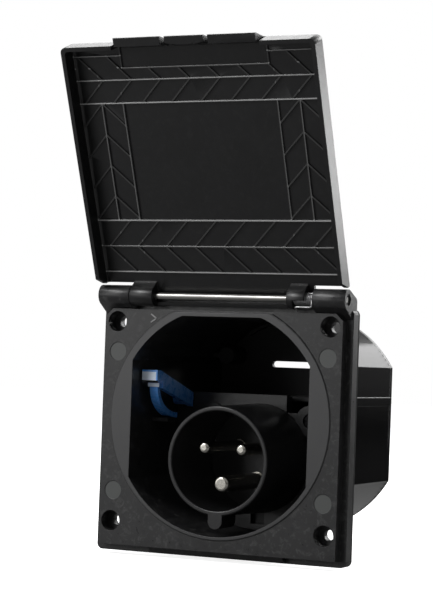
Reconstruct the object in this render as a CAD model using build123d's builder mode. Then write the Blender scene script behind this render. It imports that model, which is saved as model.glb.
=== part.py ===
from build123d import *
from math import atan2, cos, degrees, radians, sin, sqrt
import os

# Caravan power inlet with a sprung flap lid, shown with the lid standing open.
# Millimetres. X is to the right seen from outside, Y goes into the wall, Z is up.
# The origin is on the wall face, on the centre line of the round recess.

# Wall gasket and flange
GASKET_T = 1.5
GASKET_FIT = 0.4
FLANGE_W = 115.0
FLANGE_TOP = 49.0
FLANGE_BOTTOM = -57.0
FLANGE_R = 2.5
FLANGE_T = 5.2
PANEL_LEDGE = 2.9
PANEL_TOP = 46.8
PANEL_BOTTOM = -54.3
PANEL_RISE = 4.8
PANEL_CHAMFER = 3.0
SKIN = 2.2
DISC_R = 50.6
DISC_Z = 1.2
DISC_RISE = 0.6

# Round recess with flats, and the box around it
OPENING_R = 47.9
OPENING_HALF_W = 40.9
OPENING_TOP = 44.3
BOX_WALL = 2.1
BOX_DEPTH = 79.5
GUIDE_Z = 10.2
GUIDE_H = 3.8
GUIDE_RISE = 0.9

# Fixing holes through the flange
HOLE_MARGIN_X = 8.4
HOLE_SPACING_Z = 85.4
HOLE_CENTRE_Z = -1.4
HOLE_R = 2.25
COUNTERBORE_R = 4.35
COUNTERBORE_DEPTH = 6.4
BOSS_WALL = 1.5
MARK_R = 3.9
MARK_DEPTH = 0.25
MARK_MARGIN = 6.2
MARK_HIGH_Z = 28.5
MARK_LOW_Z = -31.0

# Catch ridge for the lid latch, on the bottom edge of the panel
CATCH_HALF_W = 31.0
CATCH_DROP = 2.1
CATCH_SLOPE = 2.6
CATCH_LIP = 1.0
CATCH_NECK = 0.7

# Hinge
HINGE_Z = 52.5
KNUCKLE_R = 4.4
KNUCKLE_SETBACK = 0.8
KNUCKLE_W = 14.5
KNUCKLE_TOE = 8.1
HEEL_R = 2.0
HEEL_DROP = 0.7
ROD_R = 1.5
ROD_FIT = 0.05
ROD_INSET = 0.6
ROD_RECESS_R = 2.4
ROD_RECESS = 0.8
ROD_CHAMFER = 0.3
HINGE_FIT = 0.1
HINGE_GAP = 0.3

# Lid, measured from the hinge axis
LID_LEAN = 22.5
LID_SETBACK = 0.9
LID_FREE_EDGE = 109.8
LID_FOOT = 4.9
LID_FOOT_LEVEL = -1.1
LID_FOOT_RIM = 8.6
LID_RIM = 4.5
LID_BACK = -5.0
LID_PLATE = 2.0
LID_WALL = 1.8
LID_CORNER_R = 2.3
LID_EDGE_R = 2.2
LID_INNER_CORNER_R = 1.4
LID_INNER_R = 1.2
LEAF_END_GAP = 1.4
LEAF_CURL_R = 4.2
LEAF_CURL_T = 1.5
LEAF_CURL_END = 0.2
ARM_REACH = 5.6
LID_KNUCKLE_W = 10.7
LID_KNUCKLE_RIGHT_GAP = 11.5
LID_KNUCKLE_END_GAP = 3.8
RIB_H = 0.7
RIB_W = 0.65
RIB_ROWS_LOW = (10.0, 21.4, 33.0)
RIB_ROWS_FROM_EDGE = (25.8, 16.0, 5.8)
RIB_COLUMN_INNER = 34.7
RIB_COLUMN_MIDDLE = 44.6
CHEVRON_PITCH = 13.4
CHEVRON_FIRST = 51.0

# Latch tongues along the lid's free edge
TONGUE_GAP_L = 4.4
TONGUE_ROOT_L = 2.8
TONGUE_SETBACK = 0.5
TONGUE_REACH = 3.7
TONGUE_TIP_T = 0.8
TONGUE_BOW = 0.9
TONGUE_SPANS = ((-31.6, -10.6), (-8.4, 8.8), (10.8, 31.6))
POCKET_HALF_W = 33.0
POCKET_L = 11.0

# Lid spring on the hinge rod
SPRING_ROOM = 9.0
SPRING_WIRE = 0.8
SPRING_R = 2.6
SPRING_HOUSE_R = 3.0
SPRING_SHELL_LIP = 0.8
SPRING_LEG_Z = 49.1
SPRING_FOOT_GAP = 0.7
SPRING_FOOT = 0.9
SPRING_TAIL = 1.8
SPRING_GROOVE = 0.3

# Contact carrier: base plate and shroud in one moulding
BASE_FRONT = 33.5
BASE_T = 3.0
BASE_TOP = 11.8
BASE_STEP_X = 12.1
BASE_STEP_Z = 4.2
BASE_CLEARANCE = 0.3
SHROUD_Z = -16.1
SHROUD_RIM_R = 23.0
SHROUD_BASE_R = 23.9
SHROUD_WALL = 2.0
SHROUD_SETBACK = 0.3
SHROUD_FLOOR_RISE = 2.0
KEY_W = 6.4
KEY_REACH = 28.6
KEY_L = 14.0
KEY_WINDOW_DROP = 5.0
CARRIER_BOSS_R = 6.7
CARRIER_BOSS_RISE = 1.2
CARRIER_BOSS_X = 23.7
CARRIER_BOSS_HIGH_Z = 1.0
CARRIER_BOSS_LOW_X = 27.6
CARRIER_BOSS_LOW_Z = -31.5
CARRIER_RECESS_R = 3.2
CARRIER_RECESS = 2.2
SCREW_R = 1.5
SCREW_FIT = 0.05
SCREW_HEAD_R = 2.8
TERMINAL_HEAD_R = 2.0
SCREW_HEAD_H = 1.8
SCREW_L = 10.0
SLOT_W = 0.8
SLOT_DEPTH = 0.7

# Contact pins on their pitch circle
PIN_CIRCLE_R = 9.9
LINE_PIN_R = 2.5
EARTH_PIN_R = 3.5
PIN_SETBACK = 5.1
PIN_TAIL_R = 4.2
PIN_TAIL_L = 15.0
PIN_COLLAR_R = 4.8
PIN_COLLAR_T = 1.5
PIN_FIT = 0.05
PIN_SHANK_STEP = 0.4
PIN_NECK = 0.5
WIRE_R = 2.0
TERMINAL_SCREW_R = 1.5
TERMINAL_SCREW_L = 3.0
TERMINAL_PLACE = 8.0
WIRE_DEPTH = 12.0
PIN_TIP_R = 1.4

# Bulkhead and shelf inside the box
BULKHEAD_T = 3.0
BULKHEAD_HALF_WINDOW = 16.5
WINDOW_TOP = 3.6
WINDOW_BOTTOM = -38.0
SHELF_TOP = 11.3
SHELF_T = 2.0
SHELF_SETBACK = 3.5
POST_R = 3.6
POST_L = 8.0
RETAINER_T = 2.0
RETAINER_MARGIN = 0.5
RETAINER_SCREW_L = 6.0
RETAINER_HOLE_DEPTH = 4.0
SHROUD_RIM_ROUND = 0.6

# Rear cover
COVER_T = 2.5
COVER_LIP = 3.0
COVER_LIP_T = 1.6
COVER_LIP_GAP = 0.3
VENT_Z = 25.3
VENT_W = 30.6
VENT_H = 2.8
COVER_LIP_HALF_W = 26.0
PILLAR_X = 32.0
PILLAR_Z = 28.5
PILLAR_R = 3.8
PILLAR_L = 15.0
ENTRY_Z = -20.0
ENTRY_R = 7.5
GROMMET_LIP = 2.2
GROMMET_LIP_T = 1.8
GROMMET_BORE_R = 4.6
CLAMP_SHELF_L = 14.0
CLAMP_SHELF_W = 30.0
CLAMP_SHELF_T = 3.0
CLAMP_DROP = 4.6
CLAMP_LIP_GAP = 0.3
CLAMP_POST_R = 3.4
CLAMP_POST_H = 8.7
CLAMP_POST_X = 10.8
CLAMP_T = 3.2
CLAMP_W = 8.0
CLAMP_SADDLE_R = 6.0
CLAMP_SADDLE_DEPTH = 1.2
CLAMP_SCREW_L = 8.0

# Release lever on the left wall of the recess
LEVER_W = 7.4
LEVER_WALL_GAP = 0.7
LEVER_PIVOT_Y = 29.8
LEVER_PIVOT_Z = 8.9
LEVER_HUB_R = 3.0
LEVER_NOSE_Y = -4.0
LEVER_TOP_Z = 20.9
LEVER_NOSE_H = 4.5
LEVER_NOSE_L = 6.5
LEVER_CREST_Y = -1.0
LEVER_WEB_T = 2.6
LEVER_WEB_END_Y = 32.6
LEVER_WEB_END_TOP = 11.4
LEVER_WEB_END_LOW = 5.1
LEVER_CHIN_Y = 1.7
LEVER_CHIN_Z = 13.2
LEVER_BOSS_GAP = 0.3
LEVER_PIN_R = 1.0
LEVER_PIN_FIT = 0.08
LEVER_PIN_SKIN = 1.2

# Leaf spring under the lever nose, and its ledge
LEAF_T = 2.4
LEAF_W = 4.0
LEAF_HEAD_W = 5.6
LEAF_HEAD_T = 1.8
LEAF_HEAD_L = 2.8
LEAF_X = -36.0
LEAF_HEAD_Z = 13.6
LEAF_SEAT_GAP = 0.1
LEAF_TIP_Y = 19.5
LEAF_TIP_Z = 1.4
LEAF_ARC_START = 180
LEAF_ARC = 90
LEDGE_W = 6.9
LEDGE_L = 9.9
LEDGE_T = 1.6

# Places worked out from the sizes above
FLANGE_BACK = -GASKET_T
LEDGE_Y = FLANGE_BACK - FLANGE_T
PANEL_W = FLANGE_W - 2 * PANEL_LEDGE
HOLE_SPACING_X = FLANGE_W - 2 * HOLE_MARGIN_X
MARK_X = PANEL_W / 2 - MARK_MARGIN
KNUCKLE_HALF_SPAN = FLANGE_W / 2 - KNUCKLE_SETBACK
ROD_HALF_L = KNUCKLE_HALF_SPAN - ROD_INSET
KNUCKLE_INNER = KNUCKLE_HALF_SPAN - KNUCKLE_W
LEAF_RIGHT = KNUCKLE_INNER - LEAF_END_GAP
LID_KNUCKLE_RIGHT = KNUCKLE_INNER - LID_KNUCKLE_RIGHT_GAP
LID_KNUCKLE_END = KNUCKLE_INNER - LID_KNUCKLE_END_GAP
SPRING_START = KNUCKLE_INNER - SPRING_ROOM
RIB_ROWS_HIGH = tuple(LID_FREE_EDGE - back for back in RIB_ROWS_FROM_EDGE)
TONGUE_GAP_START = LID_FREE_EDGE - TONGUE_GAP_L
TONGUE_ROOT = LID_FREE_EDGE - TONGUE_ROOT_L
TONGUE_INNER = LID_FREE_EDGE - TONGUE_SETBACK
TONGUE_TIP = TONGUE_INNER + TONGUE_REACH
POCKET_ROOT = LID_FREE_EDGE - POCKET_L
PANEL_FRONT = LEDGE_Y - PANEL_RISE
HINGE_Y = PANEL_FRONT
BOX_OUTER_W = OPENING_HALF_W + BOX_WALL
BASE_BACK = BASE_FRONT + BASE_T
BULKHEAD_BACK = BASE_BACK + BULKHEAD_T
SHROUD_RIM_Y = PANEL_FRONT + SHROUD_SETBACK
COVER_BACK = BOX_DEPTH + COVER_T
CARRIER_SCREW_PLACES = (
    (-CARRIER_BOSS_X, CARRIER_BOSS_HIGH_Z),
    (CARRIER_BOSS_X, CARRIER_BOSS_HIGH_Z),
    (-CARRIER_BOSS_LOW_X, CARRIER_BOSS_LOW_Z),
    (CARRIER_BOSS_LOW_X, CARRIER_BOSS_LOW_Z),
)
PILLAR_PLACES = tuple((x, z) for x in (-PILLAR_X, PILLAR_X) for z in (-PILLAR_Z, PILLAR_Z))
PIN_RISE = PIN_CIRCLE_R / 2
PIN_SIDE = PIN_CIRCLE_R * sqrt(3) / 2
PINS = {
    "line_pin": (-PIN_SIDE, SHROUD_Z + PIN_RISE, LINE_PIN_R),
    "neutral_pin": (PIN_SIDE, SHROUD_Z + PIN_RISE, LINE_PIN_R),
    "earth_pin": (0, SHROUD_Z - PIN_CIRCLE_R, EARTH_PIN_R),
}
LEVER_LEFT = -OPENING_HALF_W + LEVER_WALL_GAP
LEVER_RIGHT = LEVER_LEFT + LEVER_W
LID_HALF_W = FLANGE_W / 2 - LID_SETBACK
LID_INNER = LID_BACK + LID_PLATE
LID_LEFT_END = -KNUCKLE_INNER + HINGE_GAP
SPRING_END = KNUCKLE_INNER - HINGE_GAP
SHROUD_FLOOR_Y = BASE_FRONT - SHROUD_FLOOR_RISE
PIN_TIP_Y = PANEL_FRONT + PIN_SETBACK
COLLAR_BACK = BASE_BACK + PIN_COLLAR_T
LEAF_HEAD_Y = LEVER_CHIN_Y - LEAF_SEAT_GAP - LEAF_HEAD_L
CLAMP_SHELF_TOP = ENTRY_Z - CLAMP_DROP
CLAMP_BAR_Z = CLAMP_SHELF_TOP + CLAMP_POST_H
CLAMP_Y = BOX_DEPTH - CLAMP_SHELF_L + CLAMP_W / 2
LID_PLANE = Plane(
    origin=(0, HINGE_Y, HINGE_Z),
    x_dir=(1, 0, 0),
    z_dir=(0, -cos(radians(LID_LEAN)), -sin(radians(LID_LEAN))),
)
LID_AXIS = Axis(LID_PLANE.origin, LID_PLANE.z_dir)
LID_ALONG = Axis(LID_PLANE.origin, LID_PLANE.y_dir)


def at_y(y):
    """Plane facing outwards at depth y, with X across and Z up."""
    return Plane.XZ.offset(-y)


def at_x(x):
    """Plane facing right at x, with Y across and Z up."""
    return Plane.YZ.offset(x)


def lid_level(height):
    """Plane parallel to the lid, with X across and the distance from the hinge up."""
    return LID_PLANE.offset(height)


def lid_section(x):
    """Plane across the lid at x, with the distance from the hinge across and depth up."""
    origin = LID_PLANE.from_local_coords((x, 0, 0))
    return Plane(origin=origin, x_dir=LID_PLANE.y_dir, z_dir=LID_PLANE.x_dir)


def recess_outline(grow, mode=Mode.ADD):
    """Adds the round recess with its two side flats and top flat, larger by grow."""
    with BuildSketch(mode=Mode.PRIVATE) as outline:
        Circle(OPENING_R + grow)
        height = OPENING_TOP + OPENING_R + 2 * grow
        with Locations((0, (OPENING_TOP - OPENING_R) / 2)):
            Rectangle(2 * (OPENING_HALF_W + grow), height, mode=Mode.INTERSECT)
    add(outline.sketch_local, mode=mode)


def box_across(x0, x1, z0, z1, mode=Mode.ADD):
    """Adds a rectangle between two x values and two z values."""
    with Locations(((x0 + x1) / 2, (z0 + z1) / 2)):
        Rectangle(x1 - x0, z1 - z0, mode=mode)


def slotted_screw(length, radius, head_radius):
    """Adds a cheese-head screw at the current place, its head standing on the plane."""
    Cylinder(head_radius, SCREW_HEAD_H, align=(Align.CENTER, Align.CENTER, Align.MIN))
    Cylinder(radius, length, align=(Align.CENTER, Align.CENTER, Align.MAX))
    with Locations((0, 0, SCREW_HEAD_H)):
        Box(2 * head_radius, SLOT_W, 2 * SLOT_DEPTH, mode=Mode.SUBTRACT)


def hinge_lug(x0, x1):
    """Adds one flange knuckle with its heel and toe on the flange."""
    with BuildSketch(at_x(x0)) as lug:
        with Locations((HINGE_Y, HINGE_Z)):
            Circle(KNUCKLE_R)
        with Locations((FLANGE_BACK - HEEL_R, HINGE_Z - HEEL_DROP)):
            Circle(HEEL_R)
        box_across(LEDGE_Y, FLANGE_BACK, HINGE_Z - KNUCKLE_TOE, HINGE_Z - HEEL_DROP)
        make_hull()
    extrude(lug.sketch, amount=x1 - x0)


# Housing: flange, raised panel, hinge knuckles, box walls, bulkhead and posts
with BuildPart() as housing:
    with BuildSketch(at_y(FLANGE_BACK)):
        box_across(-FLANGE_W / 2, FLANGE_W / 2, FLANGE_BOTTOM, FLANGE_TOP)
        fillet(vertices(), FLANGE_R)
    extrude(amount=FLANGE_T)
    with BuildSketch(at_y(LEDGE_Y)) as panel_face:
        box_across(-PANEL_W / 2, PANEL_W / 2, PANEL_BOTTOM, PANEL_TOP)
        chamfer(panel_face.vertices().group_by(Axis.Y)[-1], PANEL_CHAMFER)
    extrude(amount=PANEL_RISE)
    with BuildSketch(at_y(PANEL_FRONT)):
        with Locations((0, DISC_Z)):
            Circle(DISC_R)
        disc_top = PANEL_TOP - DISC_RISE
        box_across(-PANEL_W / 2, PANEL_W / 2, PANEL_BOTTOM, disc_top, mode=Mode.INTERSECT)
    extrude(amount=DISC_RISE, taper=30)
    hinge_lug(-KNUCKLE_HALF_SPAN, -KNUCKLE_INNER)
    hinge_lug(KNUCKLE_INNER, KNUCKLE_HALF_SPAN)
    with BuildSketch(at_x(-CATCH_HALF_W)):
        with BuildLine():
            Polyline(
                (PANEL_FRONT, PANEL_BOTTOM + CATCH_NECK),
                (PANEL_FRONT + CATCH_SLOPE, PANEL_BOTTOM - CATCH_DROP),
                (PANEL_FRONT + CATCH_SLOPE + CATCH_LIP, PANEL_BOTTOM - CATCH_DROP),
                (PANEL_FRONT + CATCH_SLOPE + CATCH_LIP, PANEL_BOTTOM - CATCH_NECK),
                (LEDGE_Y, PANEL_BOTTOM - CATCH_NECK),
                (LEDGE_Y, PANEL_BOTTOM + CATCH_NECK),
                close=True,
            )
        make_face()
    extrude(amount=2 * CATCH_HALF_W)
    with BuildSketch(at_y(FLANGE_BACK)):
        inner_w = PANEL_W / 2 - SKIN
        box_across(-inner_w, inner_w, PANEL_BOTTOM + SKIN, PANEL_TOP - SKIN)
        with Locations((0, HOLE_CENTRE_Z)):
            with GridLocations(HOLE_SPACING_X, HOLE_SPACING_Z, 2, 2):
                Circle(COUNTERBORE_R + BOSS_WALL, mode=Mode.SUBTRACT)
    extrude(amount=FLANGE_T + PANEL_RISE - SKIN, mode=Mode.SUBTRACT)
    with BuildSketch(at_y(PANEL_FRONT)):
        recess_outline(BOX_WALL)
    extrude(amount=PANEL_FRONT - BOX_DEPTH)
    with BuildSketch(at_y(PANEL_FRONT - DISC_RISE)):
        recess_outline(0)
    extrude(amount=PANEL_FRONT - DISC_RISE - BOX_DEPTH, mode=Mode.SUBTRACT)
    # Bulkhead that the contact carrier seats on, with a window for its terminals
    with BuildSketch(at_y(BULKHEAD_BACK)):
        recess_outline(BOX_WALL / 2)
        box_across(-OPENING_R, OPENING_R, SHELF_TOP, OPENING_R, mode=Mode.SUBTRACT)
        box_across(BASE_STEP_X, OPENING_R, BASE_STEP_Z, OPENING_R, mode=Mode.SUBTRACT)
        window_x = BULKHEAD_HALF_WINDOW
        box_across(-window_x, window_x, WINDOW_BOTTOM, WINDOW_TOP, mode=Mode.SUBTRACT)
        with Locations(*CARRIER_SCREW_PLACES):
            Circle(POST_R)
    extrude(amount=BULKHEAD_T)
    with BuildSketch(at_y(BULKHEAD_BACK)):
        with Locations(*CARRIER_SCREW_PLACES):
            Circle(POST_R)
    extrude(amount=-POST_L)
    # Shelf that closes the terminal space off from the open recess
    with BuildSketch(at_y(BULKHEAD_BACK + SHELF_SETBACK)):
        recess_outline(BOX_WALL / 2)
        box_across(-OPENING_R, OPENING_R, SHELF_TOP - SHELF_T, SHELF_TOP, mode=Mode.INTERSECT)
    extrude(amount=BULKHEAD_BACK + SHELF_SETBACK - BOX_DEPTH)
    # Screw pillars for the rear cover, joined to the box wall
    with BuildSketch(at_y(BOX_DEPTH)):
        with Locations(*PILLAR_PLACES):
            Circle(PILLAR_R)
        for pillar_x, pillar_z in PILLAR_PLACES:
            wall_x = (OPENING_HALF_W + BOX_WALL / 2) * pillar_x / PILLAR_X
            left, right = sorted((pillar_x, wall_x))
            box_across(left, right, pillar_z - BOX_WALL / 2, pillar_z + BOX_WALL / 2)
        recess_outline(BOX_WALL / 2, Mode.INTERSECT)
    extrude(amount=PILLAR_L)
    # Guide rib along each side of the box
    with BuildSketch(at_y(BOX_DEPTH)):
        for side in (-1, 1):
            rib_root = side * (BOX_OUTER_W - BOX_WALL / 2)
            left, right = sorted((rib_root, side * (BOX_OUTER_W + GUIDE_RISE)))
            box_across(left, right, GUIDE_Z - GUIDE_H / 2, GUIDE_Z + GUIDE_H / 2)
    extrude(amount=BOX_DEPTH - FLANGE_BACK)
    # Ledge under the leaf spring
    with BuildSketch(at_y(LEAF_TIP_Y + LEAF_SEAT_GAP)):
        ledge_top = LEAF_TIP_Z - LEAF_T / 2
        wall_x = -OPENING_HALF_W
        box_across(wall_x - BOX_WALL / 2, wall_x + LEDGE_W, ledge_top - LEDGE_T, ledge_top)
    extrude(amount=LEDGE_L)
    # Wall boss that carries the lever pin
    with BuildSketch(at_x(-OPENING_HALF_W - BOX_WALL / 2)):
        with Locations((LEVER_PIVOT_Y, LEVER_PIVOT_Z)):
            Circle(LEVER_HUB_R)
    extrude(amount=BOX_WALL / 2 + LEVER_WALL_GAP - LEVER_BOSS_GAP)
    with BuildSketch(at_x(-OPENING_HALF_W - BOX_WALL / 2)):
        with Locations((LEVER_PIVOT_Y, LEVER_PIVOT_Z)):
            Circle(LEVER_PIN_R + PIN_FIT)
    extrude(amount=BOX_WALL / 2 + LEVER_WALL_GAP, mode=Mode.SUBTRACT)
    # Fixing holes, moulding marks, hinge bores and screw holes
    with Locations(at_y(PANEL_FRONT)):
        with Locations((0, HOLE_CENTRE_Z)):
            with GridLocations(HOLE_SPACING_X, HOLE_SPACING_Z, 2, 2):
                CounterBoreHole(HOLE_R, COUNTERBORE_R, COUNTERBORE_DEPTH)
    with BuildSketch(at_y(PANEL_FRONT)):
        with Locations(*((x, z) for x in (-MARK_X, MARK_X) for z in (MARK_LOW_Z, MARK_HIGH_Z))):
            Circle(MARK_R)
    extrude(amount=-MARK_DEPTH, mode=Mode.SUBTRACT)
    with BuildSketch(at_x(-ROD_HALF_L - HINGE_GAP)):
        with Locations((HINGE_Y, HINGE_Z)):
            Circle(ROD_R + ROD_FIT)
    extrude(amount=2 * (ROD_HALF_L + HINGE_GAP), mode=Mode.SUBTRACT)
    with BuildSketch(at_x(KNUCKLE_HALF_SPAN)):
        with Locations((HINGE_Y, HINGE_Z)):
            Circle(ROD_RECESS_R)
    extrude(amount=-ROD_RECESS, mode=Mode.SUBTRACT)
    with Locations(at_y(BASE_BACK)):
        with Locations(*CARRIER_SCREW_PLACES):
            Hole(SCREW_R + SCREW_FIT, SCREW_L)
    with Locations(at_y(BOX_DEPTH)):
        with Locations(*PILLAR_PLACES):
            Cylinder(SCREW_R + SCREW_FIT, 2 * SCREW_L, mode=Mode.SUBTRACT)
housing.part.label = "housing"

# Gasket: flat frame between the flange and the wall
with BuildPart() as wall_gasket:
    with BuildSketch(at_y(0)) as gasket_face:
        box_across(-FLANGE_W / 2, FLANGE_W / 2, FLANGE_BOTTOM, FLANGE_TOP)
        fillet(gasket_face.vertices(), FLANGE_R)
        recess_outline(BOX_WALL + GASKET_FIT, Mode.SUBTRACT)
        for side in (-1, 1):
            with Locations((side * (BOX_OUTER_W + GUIDE_RISE / 2), GUIDE_Z)):
                Rectangle(GUIDE_RISE + 2 * GASKET_FIT, GUIDE_H + 2 * GASKET_FIT, mode=Mode.SUBTRACT)
        with Locations((0, HOLE_CENTRE_Z)):
            with GridLocations(HOLE_SPACING_X, HOLE_SPACING_Z, 2, 2):
                Circle(HOLE_R + GASKET_FIT, mode=Mode.SUBTRACT)
    extrude(amount=GASKET_T)
wall_gasket.part.label = "wall_gasket"

# Hinge rod through the flange knuckles and the lid knuckles
with BuildPart() as hinge_rod:
    with BuildSketch(at_x(-ROD_HALF_L)):
        with Locations((HINGE_Y, HINGE_Z)):
            Circle(ROD_R)
    extrude(amount=2 * ROD_HALF_L)
    chamfer(hinge_rod.edges().filter_by(GeomType.CIRCLE), ROD_CHAMFER)
hinge_rod.part.label = "hinge_rod"


def rib_between(start, end):
    """Adds a straight rib between two points of the lid face."""
    along = Vector(*end) - Vector(*start)
    middle = (Vector(*end) + Vector(*start)) / 2
    with Locations(Location((middle.X, middle.Y, 0), (0, 0, degrees(atan2(along.Y, along.X))))):
        Rectangle(along.length + RIB_W / 2, RIB_W)


def lid_knuckle(x0, x1):
    """Adds one lid knuckle with the arm that ties it to the flap."""
    with BuildSketch(lid_section(x0)) as knuckle:
        Circle(KNUCKLE_R)
        box_across(0, ARM_REACH, LID_BACK, LID_INNER)
        make_hull()
    extrude(knuckle.sketch, amount=x1 - x0)


# Space inside the lid, with its rounded floor edges
with BuildPart() as lid_hollow:
    with BuildSketch(lid_level(LID_INNER)) as hollow:
        hollow_half_w = LID_HALF_W - LID_WALL
        box_across(-hollow_half_w, hollow_half_w, 0, LID_FREE_EDGE - LID_WALL)
        fillet(hollow.vertices().sort_by(Axis.Y)[-2:], LID_INNER_CORNER_R)
    extrude(amount=LID_RIM - LID_INNER)
    fillet(lid_hollow.faces().sort_by(LID_AXIS)[0].edges(), LID_INNER_R)

# Lid: flap with a rounded outer edge, herringbone ribs inside, knuckles and latch tongues
with BuildPart() as lid:
    with BuildSketch(lid_level(LID_BACK)) as flap:
        box_across(-LID_HALF_W, LID_HALF_W, LID_FOOT, LID_FREE_EDGE)
        fillet(flap.vertices().sort_by(Axis.Y)[-2:], LID_CORNER_R)
    extrude(amount=LID_RIM - LID_BACK)
    fillet(lid.faces().sort_by(LID_AXIS)[0].edges().sort_by(LID_ALONG)[1:], LID_EDGE_R)
    add(lid_hollow.part, mode=Mode.SUBTRACT)
    with BuildSketch(lid_section(-LID_HALF_W)):
        with BuildLine():
            Polyline(
                (LID_FOOT, LID_FOOT_LEVEL),
                (LID_FOOT_RIM, LID_RIM),
                (LID_FOOT, LID_RIM),
                close=True,
            )
        make_face()
    extrude(amount=2 * LID_HALF_W, mode=Mode.SUBTRACT)
    # Gap in the free edge that the latch tongues stand in
    with BuildSketch(lid_section(-POCKET_HALF_W)):
        box_across(TONGUE_GAP_START, LID_FREE_EDGE + LID_WALL, LID_INNER, LID_RIM)
    extrude(amount=2 * POCKET_HALF_W, mode=Mode.SUBTRACT)
    for tongue_left, tongue_right in TONGUE_SPANS:
        with BuildSketch(lid_section(tongue_left)):
            with BuildLine():
                root = LID_INNER - LID_PLATE / 4
                Polyline(
                    (TONGUE_ROOT, root),
                    (TONGUE_INNER, 0),
                    (TONGUE_INNER, LID_RIM),
                    (TONGUE_TIP, LID_RIM),
                    (TONGUE_TIP, LID_RIM - TONGUE_TIP_T),
                    (LID_FREE_EDGE, root),
                    close=True,
                )
            make_face()
        extrude(amount=tongue_right - tongue_left)
    # Bowed lip of the middle tongue
    with BuildSketch(lid_level(LID_RIM)):
        with BuildLine():
            bow_left, bow_right = TONGUE_SPANS[1]
            ThreePointArc(
                (bow_left, TONGUE_INNER + TONGUE_BOW),
                ((bow_left + bow_right) / 2, TONGUE_INNER),
                (bow_right, TONGUE_INNER + TONGUE_BOW),
            )
            Polyline(
                (bow_left, TONGUE_INNER + TONGUE_BOW),
                (bow_left, TONGUE_ROOT),
                (bow_right, TONGUE_ROOT),
                (bow_right, TONGUE_INNER + TONGUE_BOW),
            )
        make_face()
    extrude(amount=-LID_RIM, mode=Mode.SUBTRACT)
    # Leaf over the hinge rod, and the two knuckles
    with BuildSketch(lid_section(LID_LEFT_END)):
        Circle(LEAF_CURL_R)
        Circle(LEAF_CURL_R - LEAF_CURL_T, mode=Mode.SUBTRACT)
        box_across(-KNUCKLE_R, 0, LID_BACK, LEAF_CURL_END, mode=Mode.INTERSECT)
        box_across(0, LID_FOOT + LID_WALL, LID_BACK, LID_INNER)
    extrude(amount=LEAF_RIGHT - LID_LEFT_END)
    lid_knuckle(LID_LEFT_END, LID_LEFT_END + LID_KNUCKLE_W)
    lid_knuckle(LID_KNUCKLE_RIGHT, LID_KNUCKLE_END)
    with BuildSketch(lid_section(-KNUCKLE_HALF_SPAN)):
        Circle(ROD_R + HINGE_FIT)
    extrude(amount=2 * KNUCKLE_HALF_SPAN, mode=Mode.SUBTRACT)
    with BuildSketch(lid_section(SPRING_START)):
        Circle(SPRING_HOUSE_R)
    extrude(amount=KNUCKLE_INNER - SPRING_START, mode=Mode.SUBTRACT)
    with BuildSketch(at_x(SPRING_START)):
        shell_low = HINGE_Z - SPRING_SHELL_LIP
        shell_back = HINGE_Y + SPRING_FOOT + HINGE_GAP
        box_across(HINGE_Y - 2 * KNUCKLE_R, shell_back, HINGE_Z - 2 * KNUCKLE_R, shell_low)
    extrude(amount=LID_KNUCKLE_END - SPRING_START, mode=Mode.SUBTRACT)
    with BuildSketch(lid_section(SPRING_START)):
        with Locations((0, SPRING_R - SPRING_WIRE / 2)):
            Circle(SPRING_WIRE / 2 + HINGE_FIT)
    extrude(amount=-SPRING_TAIL - HINGE_GAP, mode=Mode.SUBTRACT)
    # Herringbone of ribs round the plain middle field
    with BuildSketch(lid_level(LID_INNER)):
        low_outer, low_middle, low_inner = RIB_ROWS_LOW
        high_inner, high_middle, high_outer = RIB_ROWS_HIGH
        for row in RIB_ROWS_LOW + RIB_ROWS_HIGH:
            rib_between((-LID_HALF_W, row), (LID_HALF_W, row))
        for side in (-1, 1):
            for column in (RIB_COLUMN_INNER, RIB_COLUMN_MIDDLE):
                rib_between((side * column, low_inner), (side * column, high_inner))
        arm = RIB_COLUMN_MIDDLE - RIB_COLUMN_INNER
        for step in range(8):
            tip = CHEVRON_FIRST - step * CHEVRON_PITCH
            for row in (high_inner, high_outer):
                rib_between((tip, high_middle), (tip - abs(row - high_middle), row))
            for row in (low_inner, low_outer):
                rib_between((-tip, low_middle), (-tip + abs(row - low_middle), row))
        for step in range(4):
            row = high_inner - step * CHEVRON_PITCH
            for column in (-RIB_COLUMN_MIDDLE, RIB_COLUMN_MIDDLE):
                rib_between((column, row), (column - arm, row - arm))
                rib_between((column, row), (column + arm, row - arm))
        box_across(-POCKET_HALF_W, POCKET_HALF_W, POCKET_ROOT, LID_FREE_EDGE, mode=Mode.SUBTRACT)
        rib_between((-POCKET_HALF_W, POCKET_ROOT), (POCKET_HALF_W, POCKET_ROOT))
        for side in (-1, 1):
            pocket_x = side * POCKET_HALF_W
            rib_between((pocket_x, POCKET_ROOT), (pocket_x, LID_FREE_EDGE - LID_WALL))
        rib_start = LID_FOOT + LID_WALL
        rib_end = LID_FREE_EDGE - LID_WALL
        box_across(-hollow_half_w, hollow_half_w, rib_start, rib_end, mode=Mode.INTERSECT)
    extrude(amount=RIB_H)
lid.part.label = "lid"

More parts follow.
